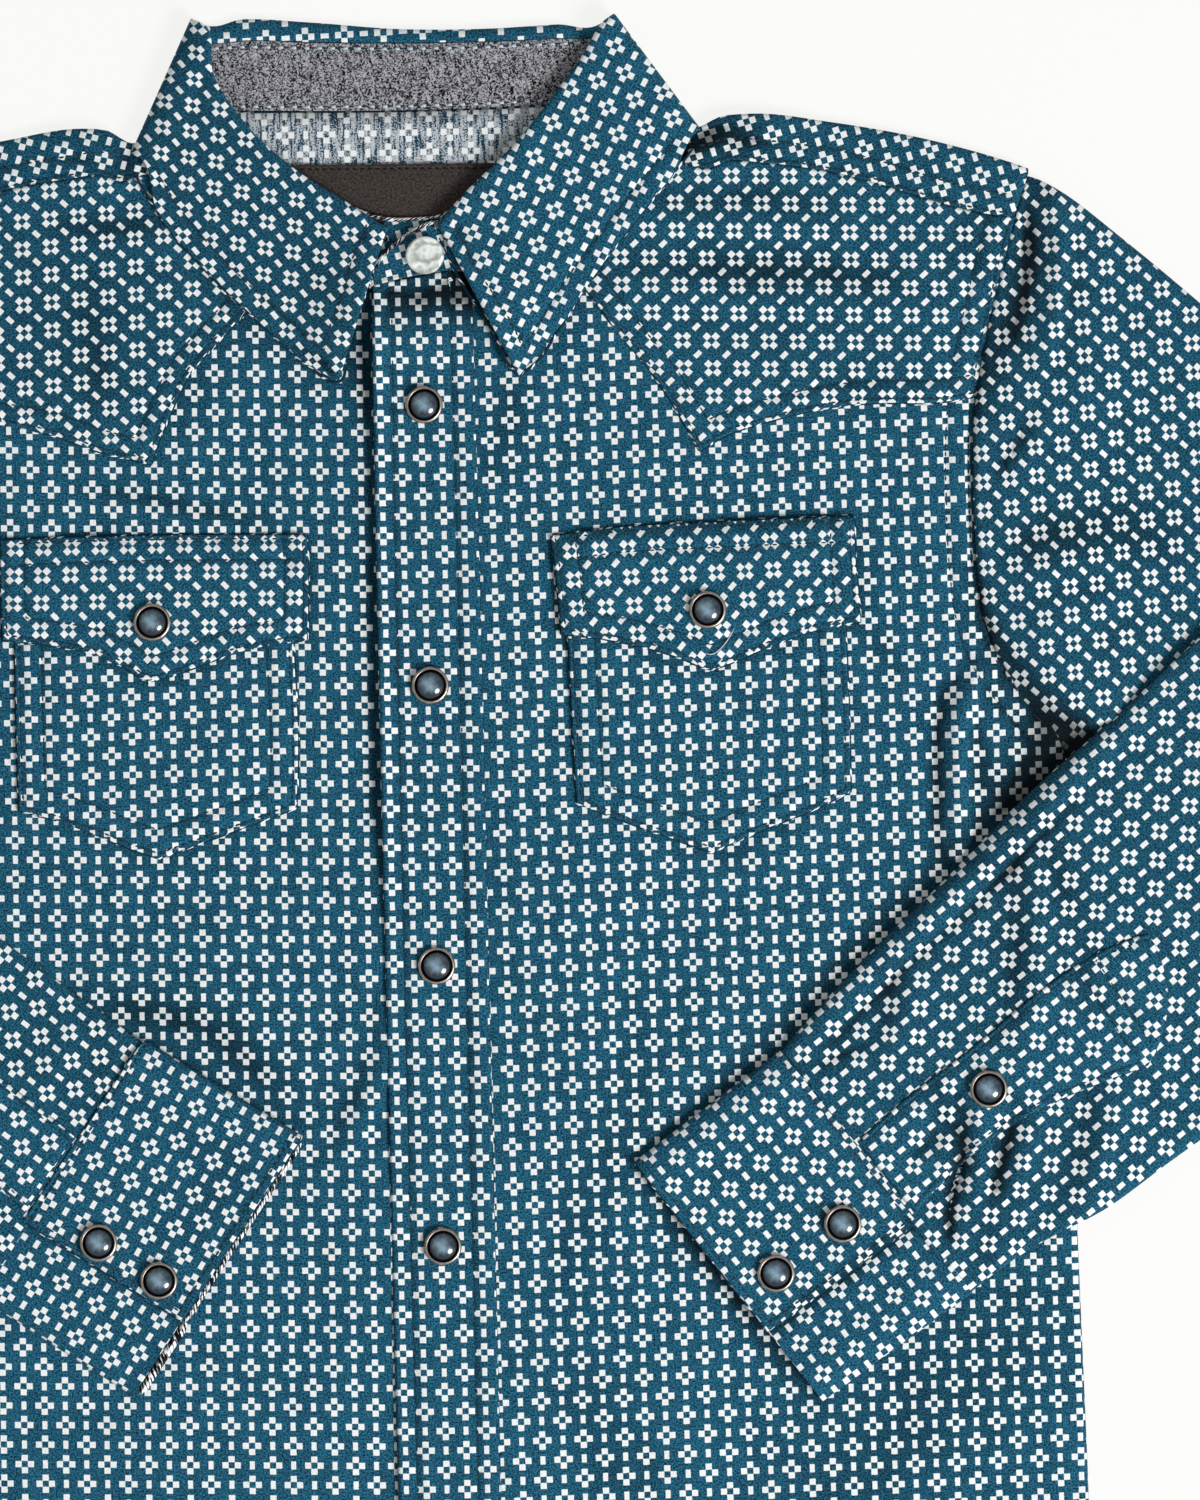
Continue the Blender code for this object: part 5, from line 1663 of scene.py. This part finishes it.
collar = make_mesh(
    "collar_fall",
    fall_points,
    fall_faces,
    printed(fall_points, *LEAF_PRINT["left"]),
    [PRINT, PRINT],
    thickness=0.8,
    # Painted shade: the wearer's right leaf a little darker all over
    depth=np.where(face_up & (fall_points[:, 0] < 0), 0.2, 0.0),
)
reprinted(collar, [fall_points[f[0], 0] < 0 for f in fall_faces], printed(fall_points, *LEAF_PRINT["right"]))
back_of_neck = [fall_points[f[0], 2] < 3.9 and abs(fall_points[f[0], 0]) < 66 for f in fall_faces]
reprinted(collar, back_of_neck, printed(fall_points, (2.0, 292.0), 92.0, 92.0))
edge_shade_roll("collar_leaf_edge", [leaf_edges[0][0], leaf_edges[1][0][::-1]], collar)
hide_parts("collar")
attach(collar, "root")

# ------------------------------------------------------------------------------
# Neck label. A woven satin label, bare, stitched inside the back yoke along its top with dark thread. The
# front of the stand covers its foot.


def satin(name, dark, pale):
    """Dark satin: long floats that catch the light in fine cross ribs."""
    made, tree, shader = new_finish(name, 0.62, sheen=0.15)
    _, spot = cloth_grain(tree)
    _, y = split(tree, spot)
    ribs = maths(tree, "SINE", times(tree, y, 17.0))
    mixed = plus(tree, speckle(tree, spot, 1.5, 2.0, 0.7), times(tree, ribs, 0.05))
    tree.links.new(blended(tree, ranged(tree, mixed, 0.36, 0.68), dark, pale), shader.inputs["Base Color"])
    weave(tree, spot, shader, 0.35, pitch=0.3)
    return made


SATIN = satin("label_satin", (0.012, 0.009, 0.008), (0.074, 0.060, 0.053))
label_edges = [
    [(-37.5, 231.5), (27.5, 231.5)],
    [(27.5, 231.5), (27.4, 252.6)],
    [(27.4, 252.6), (-10.0, 253.0), (-37.4, 253.4)],
    [(-37.4, 253.4), (-37.5, 231.5)],
]
label_sewing = [np.array([(26.5, 251.2), (-10.0, 251.6), (-36.6, 252.0)])]
label, cut_area = laid_panel(
    "neck_label_satin",
    label_edges,
    lambda p: level(1) + lift(*p.T) - 0.15 + rumpled(p, 101.0, 0.12),
    lambda p: printed(p, (0.0, 0.0), 0.0, 0.0),
    [SATIN, SATIN],
    sewing=label_sewing,
    spacing=1.5,
    roll=0.2,
    thickness=0.4,
)
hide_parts("neck_label")
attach(label, "root")

# ------------------------------------------------------------------------------
# Topstitching. Dark teal thread in lock stitches about 2.6 long, each pulled down into the cloth at its ends.


def thread_finish(name, dark, pale):
    """Sewing thread, a little lighter and darker along its length."""
    made, tree, shader = new_finish(name, 0.7, sheen=0.2)
    spot = tree.nodes.new("ShaderNodeTexCoord").outputs["Object"]
    tree.links.new(blended(tree, speckle(tree, spot, 900.0), dark, pale), shader.inputs["Base Color"])
    return made


THREAD = thread_finish("teal_thread", (0.0012, 0.014, 0.027), (0.006, 0.040, 0.068))
PALE_THREAD = thread_finish("pale_thread", (0.34, 0.42, 0.46), (0.66, 0.72, 0.75))
DARK_THREAD = thread_finish("label_thread", (0.002, 0.002, 0.002), (0.006, 0.005, 0.005))


# How thick a stitch is along its length, and how high it stands
STITCH_SWELL = (0.3, 0.85, 1.0, 0.85, 0.3)
STITCH_RISE = (-0.2, 0.0, 0.06, 0.0, -0.2)


def topstitched(name, lines, *hosts, pitch=2.4, gap=0.5, thread=0.3, colour=THREAD, slot="print_cloth"):
    """Rows of stitches along lines, lying on the cloth under them."""
    height = surface_of(*hosts)
    above = hosts[0].modifiers["cloth"].thickness / 2 / MM
    corners, faces = [], []
    ring = [(math.cos(a), math.sin(a)) for a in np.arange(6) * math.tau / 6]
    for line in lines:
        run = np.r_[0, np.linalg.norm(np.diff(line, axis=0), axis=1).cumsum()]
        for start in np.arange(0.4, run[-1] - pitch, pitch):
            marks = start + np.linspace(0, pitch - gap, 5)
            places = np.column_stack([np.interp(marks, run, line[:, k]) for k in (0, 1)])
            heights = [height(x, y, None) for x, y in places]
            if None in heights:
                continue
            first = len(corners)
            step = (places[-1] - places[0]) / np.linalg.norm(places[-1] - places[0])
            beside_step = np.array((-step[1], step[0]))
            for (x, y), z, swell, rise in zip(places, heights, STITCH_SWELL, STITCH_RISE):
                middle = np.array((x, y, z + above + rise))
                for c, s in ring:
                    corners.append(middle + thread * swell * np.array((*(beside_step * c), s)))
            for k in range(4):
                a = first + 6 * k
                faces += [(a + n, a + (n + 1) % 6, a + 6 + (n + 1) % 6, a + 6 + n) for n in range(6)]
            faces.append(tuple(first + n for n in reversed(range(6))))
            faces.append(tuple(first + 24 + n for n in range(6)))
    stitches = make_mesh(name, corners, faces, np.zeros((len(corners), 2)), [colour], thickness=0)
    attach(stitches, "root")
    return stitches


for side, sign in SIDES:
    below_yoke = [either_side(sign, line[line[:, 1] < UNDER_YOKE - 2]) for line in armhole_sewing]
    for row, sewing, host in (
        ("front", [*below_yoke, front_hems[side]], "front_panel"),
        ("yoke", yoke_sewing[side], "front_yoke_panel"),
        ("pocket", pocket_sewing[side], "pocket_patch"),
        ("flap", flap_sewing[side], "pocket_flap_panel"),
        ("cuff", cuff_sewing[side], "cuff_band"),
        ("sleeve_placket", sleeve_placket_sewing[side], "sleeve_placket_band"),
    ):
        topstitched(f"{side}_{row}_stitching", sewing, bpy.data.objects[f"{side}_{host}"])
topstitched("shoulder_stitching", shoulder_sewing, back_yoke)
topstitched("placket_stitching", placket_sewing, placket)
topstitched("collar_stitching", leaf_sewing, collar)
# The stand's rows show as white stitches laid over a nearly unbroken row of dark thread, which is painted
# shade for the hollows its needle left
STAND_ROWS = np.array(
    (
        ((-60, 288.2), (-49, 288.4), (-31, 287.6), (-5, 286.8), (18, 286.7), (40, 287.2), (52, 287.4)),
        ((-64, 271.3), (-50, 270.9), (-32, 270.4), (-5, 270.0), (18, 270.2), (42, 270.8), (57, 271.2)),
    )
)
for row, sewing, host, pitch, gap, thread, colour, slot in (
    ("collar_stand_stitch_holes", STAND_ROWS, collar_stand, 3.8, 0.1, 0.3, THREAD, "chambray"),
    ("collar_stand_stitching", STAND_ROWS, collar_stand, 3.8, 1.7, 0.46, PALE_THREAD, "chambray"),
    ("label_stitching", label_sewing, label, 2.2, 0.5, 0.42, DARK_THREAD, "label_satin"),
):
    topstitched(row, sewing, host, pitch=pitch, gap=gap, thread=thread, colour=colour, slot=slot)

loose_end = [(89.6, 114.4), (87.6, 111.0), (85.7, 108.7), (83.0, 106.9), (80.8, 107.2)]
over_flap = surface_of(bpy.data.objects["left_pocket_flap_panel"])
loose_end = [(x, y, over_flap(x, y, 4.6) + 0.7) for x, y in eased(loose_end, 0.8)]
edging("loose_thread", [loose_end], PALE_THREAD, thick=0.16)

# ------------------------------------------------------------------------------
# Snaps. Western snap caps: a spun ring of antiqued bronze, blackened inside, that clinches a smoky pearl dome
# to the prongs of a socket under the cloth.

SNAP_SIDES = 56
RING_SECTION = (
    (5.35, 0.05), (5.5, 0.35), (5.52, 0.8), (5.46, 1.25), (5.3, 1.6), (5.05, 1.82), (4.8, 1.86), (4.6, 1.74),
    (4.5, 1.52), (4.46, 1.2), (4.34, 0.9), (4.3, 0.5), (4.4, 0.1),
)
DOME_SECTION = (
    (4.3, 0.45), (4.26, 1.0), (4.1, 1.32), (3.8, 1.66), (3.35, 2.02), (2.8, 2.34), (2.2, 2.6), (1.5, 2.8),
    (0.75, 2.92), (0.0, 2.96),
)


def spun(name, section, place, finish, closed=False, sides=SNAP_SIDES):
    """A round piece turned from its section of radii and heights."""
    corners, faces, across = [], [], []
    wide = max(radius for radius, _ in section)
    rings = []
    for radius, height in section:
        ring = []
        for k in range(sides if radius else 1):
            a = math.tau * k / sides
            c, s = math.cos(a), math.sin(a)
            ring.append(len(corners))
            corners.append((place[0] + radius * c, place[1] + radius * s, place[2] + height))
            across.append((radius / wide * c, radius / wide * s))
        rings.append(ring * (sides // len(ring)))
    for low, high in [*zip(rings, rings[1:]), *([(rings[-1], rings[0])] if closed else [])]:
        for k in range(sides):
            after = (k + 1) % sides
            faces.append(tuple(dict.fromkeys((low[k], low[after], high[after], high[k]))))
    return make_mesh(name, corners, faces, across, [finish], thickness=0)


def antique_bronze(name):
    """Bronze, blackened in its hollows and rubbed bright on its rim."""
    made, tree, shader = new_finish(name, 0.34)
    shader.inputs["Metallic"].default_value = 1.0
    face = mapped(tree)
    rubbed = ranged(tree, place_maths(tree, "LENGTH", face), 0.83, 0.875)
    mottle = speckle(tree, face, 6.0, 4.0, 0.6)
    bright = blended(tree, mottle, (0.30, 0.235, 0.19), (0.66, 0.57, 0.49))
    tree.links.new(blended(tree, rubbed, (0.006, 0.006, 0.007), bright), shader.inputs["Base Color"])
    tree.links.new(plus(tree, times(tree, mottle, 0.3), 0.2), shader.inputs["Roughness"])
    return made


def clear_gloss(shader, weight, roughness):
    """Lays a clear gloss over a resin."""
    shader.inputs["Specular IOR Level"].default_value = 0.6
    shader.inputs["Coat Weight"].default_value = weight
    shader.inputs["Coat Roughness"].default_value = roughness


def smoky_pearl(name):
    """Smoky blue-grey pearl resin, cloudy, under a clear gloss, with a painted sheen: paler at its top, most
    of all up and to the left, and darker towards its rim.
    """
    made, tree, shader = new_finish(name, 0.22)
    clear_gloss(shader, 0.8, 0.04)
    face = mapped(tree)
    # Painted sheen: a pale patch up and to the left of the middle, fading towards the rim
    from_shine = times(tree, place_maths(tree, "DISTANCE", face, (-0.22, 0.2, 0.0)), 0.6)
    from_middle = times(tree, place_maths(tree, "LENGTH", face), 0.5)
    painted_sheen = minus(tree, 1.0, plus(tree, from_shine, from_middle))
    cloud = minus(tree, speckle(tree, face, 1.7, 3.0, 0.6), 0.5)
    milky = ranged(tree, plus(tree, times(tree, painted_sheen, 0.9), times(tree, cloud, 1.1)), 0.05, 0.95)
    milky.node.interpolation_type = "SMOOTHSTEP"
    colour = blended(tree, milky, (0.007, 0.015, 0.025), (0.21, 0.34, 0.43))
    tree.links.new(colour, shader.inputs["Base Color"])
    return made


def middle_of(node):
    """The middle of a solid in plan, and the height of its foot."""
    low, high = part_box(node)
    return (low.x + high.x) / 2 / MM, (low.y + high.y) / 2 / MM, low.z / MM


BRONZE = antique_bronze("antique_bronze")
PEARL = smoky_pearl("smoky_pearl")
for node in sorted(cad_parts):
    if not node.endswith("_ring"):
        continue
    snap = node[: -len("_ring")]
    x, y, foot = middle_of(node)
    for part, section, finish, slot in (
        ("ring", RING_SECTION, BRONZE, "snap_metal"),
        ("pearl", DOME_SECTION, PEARL, "snap_pearl"),
    ):
        made = spun(f"{snap}_cap_{part}", section, (x, y, foot - 0.4), finish, closed=part == "ring")
        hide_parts(f"{snap}_{part}")
        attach(made, "root")

# ------------------------------------------------------------------------------
# Collar button. A four-hole button of clear pearly resin with a raised rim and a milky swirl, sewn to the
# stand through its middle.

BUTTON_SECTION = (
    (0.0, 0.0), (4.6, 0.05), (5.3, 0.35), (5.62, 0.85), (5.66, 1.2), (5.5, 1.55), (5.15, 1.78), (4.7, 1.9),
    (4.2, 1.88), (3.7, 1.74), (3.1, 1.6), (2.2, 1.52), (1.2, 1.5), (0.0, 1.5),
)
BUTTON_FOOT = 6.3
BUTTON_TILT = 13.0


def clear_pearl(name):
    """Clear resin with a milky swirl in it, which lets a little light through."""
    made, tree, shader = new_finish(name, 0.16)
    clear_gloss(shader, 0.7, 0.05)
    shader.inputs["Subsurface Weight"].default_value = 0.15
    swirl = tree.nodes.new("ShaderNodeTexWave")
    swirl.wave_type = "RINGS"
    swirl.rings_direction = "SPHERICAL"
    swirl.inputs["Scale"].default_value = 0.5
    swirl.inputs["Distortion"].default_value = 14.0
    swirl.inputs["Detail"].default_value = 3.0
    swirl.inputs["Detail Scale"].default_value = 1.3
    shifted = place_maths(tree, "ADD", mapped(tree), (-0.28, -0.12, 0.4))
    tree.links.new(shifted, swirl.inputs["Vector"])
    cloud = times(tree, speckle(tree, shifted, 1.9, 3.0, 0.6), 0.8)
    milk = ranged(tree, plus(tree, times(tree, swirl.outputs["Fac"], 0.45), cloud), 0.3, 0.95)
    tree.links.new(blended(tree, milk, (0.26, 0.265, 0.24), (0.9, 0.88, 0.82)), shader.inputs["Base Color"])
    return made


CLEAR_PEARL = clear_pearl("clear_pearl")
x, y, _ = middle_of("collar_button")
button = spun("collar_button_pearl", BUTTON_SECTION, (0.0, 0.0, 0.0), CLEAR_PEARL)
tilt = Matrix.Rotation(math.radians(BUTTON_TILT), 4, "X")
button.data.transform(Matrix.Translation(Vector((x, y, BUTTON_FOOT)) * MM) @ tilt)
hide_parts("collar_button")
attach(button, "root")

# ------------------------------------------------------------------------------
# Table, light and camera. A plain white table under a broad even sky of light with one soft lamp, seen
# straight from above through a long lens.

bpy.ops.mesh.primitive_plane_add(size=6.0, location=(0, 0, 0))
table = bpy.context.object
table.name = "white_table"
table_finish, tree, shader = new_finish("white_table_top", 0.8)
shader.inputs["Base Color"].default_value = (0.1, 0.1, 0.099, 1.0)
shader.inputs["Emission Color"].default_value = (1.0, 1.0, 0.985, 1.0)
shader.inputs["Emission Strength"].default_value = 0.85
table.data.materials.append(table_finish)

sky = bpy.data.worlds.new("studio_light")
sky.use_nodes = True
sky.node_tree.nodes["Background"].inputs["Color"].default_value = (1.0, 1.0, 1.0, 1.0)
sky.node_tree.nodes["Background"].inputs["Strength"].default_value = 0.41
bpy.context.scene.world = sky

lamp = bpy.data.objects.new("soft_lamp", bpy.data.lights.new("soft_lamp", "AREA"))
lamp.data.shape = "DISK"
lamp.data.size = 1.25
lamp.data.energy = 104.0
lamp.location = (1.79, -1.40, 1.93)
lamp.rotation_euler = (Vector((0.0, 0.05, 0.0)) - lamp.location).to_track_quat("-Z", "Y").to_euler()
bpy.context.scene.collection.objects.link(lamp)

VIEW_CENTRE = (0.0494, 0.0795)
VIEW_WIDTH = 0.3529
CAMERA_HEIGHT = 3.0
camera = bpy.data.objects.new("camera", bpy.data.cameras.new("camera"))
camera.data.sensor_fit = "HORIZONTAL"
camera.data.sensor_width = 36.0
camera.data.lens = 36.0 * CAMERA_HEIGHT / VIEW_WIDTH
camera.data.clip_end = 20.0
camera.location = (*VIEW_CENTRE, CAMERA_HEIGHT)
camera.rotation_euler = (0.0, 0.0, -math.radians(1.29))
bpy.context.scene.collection.objects.link(camera)
bpy.context.scene.camera = camera
bpy.context.scene.view_settings.view_transform = "Standard"
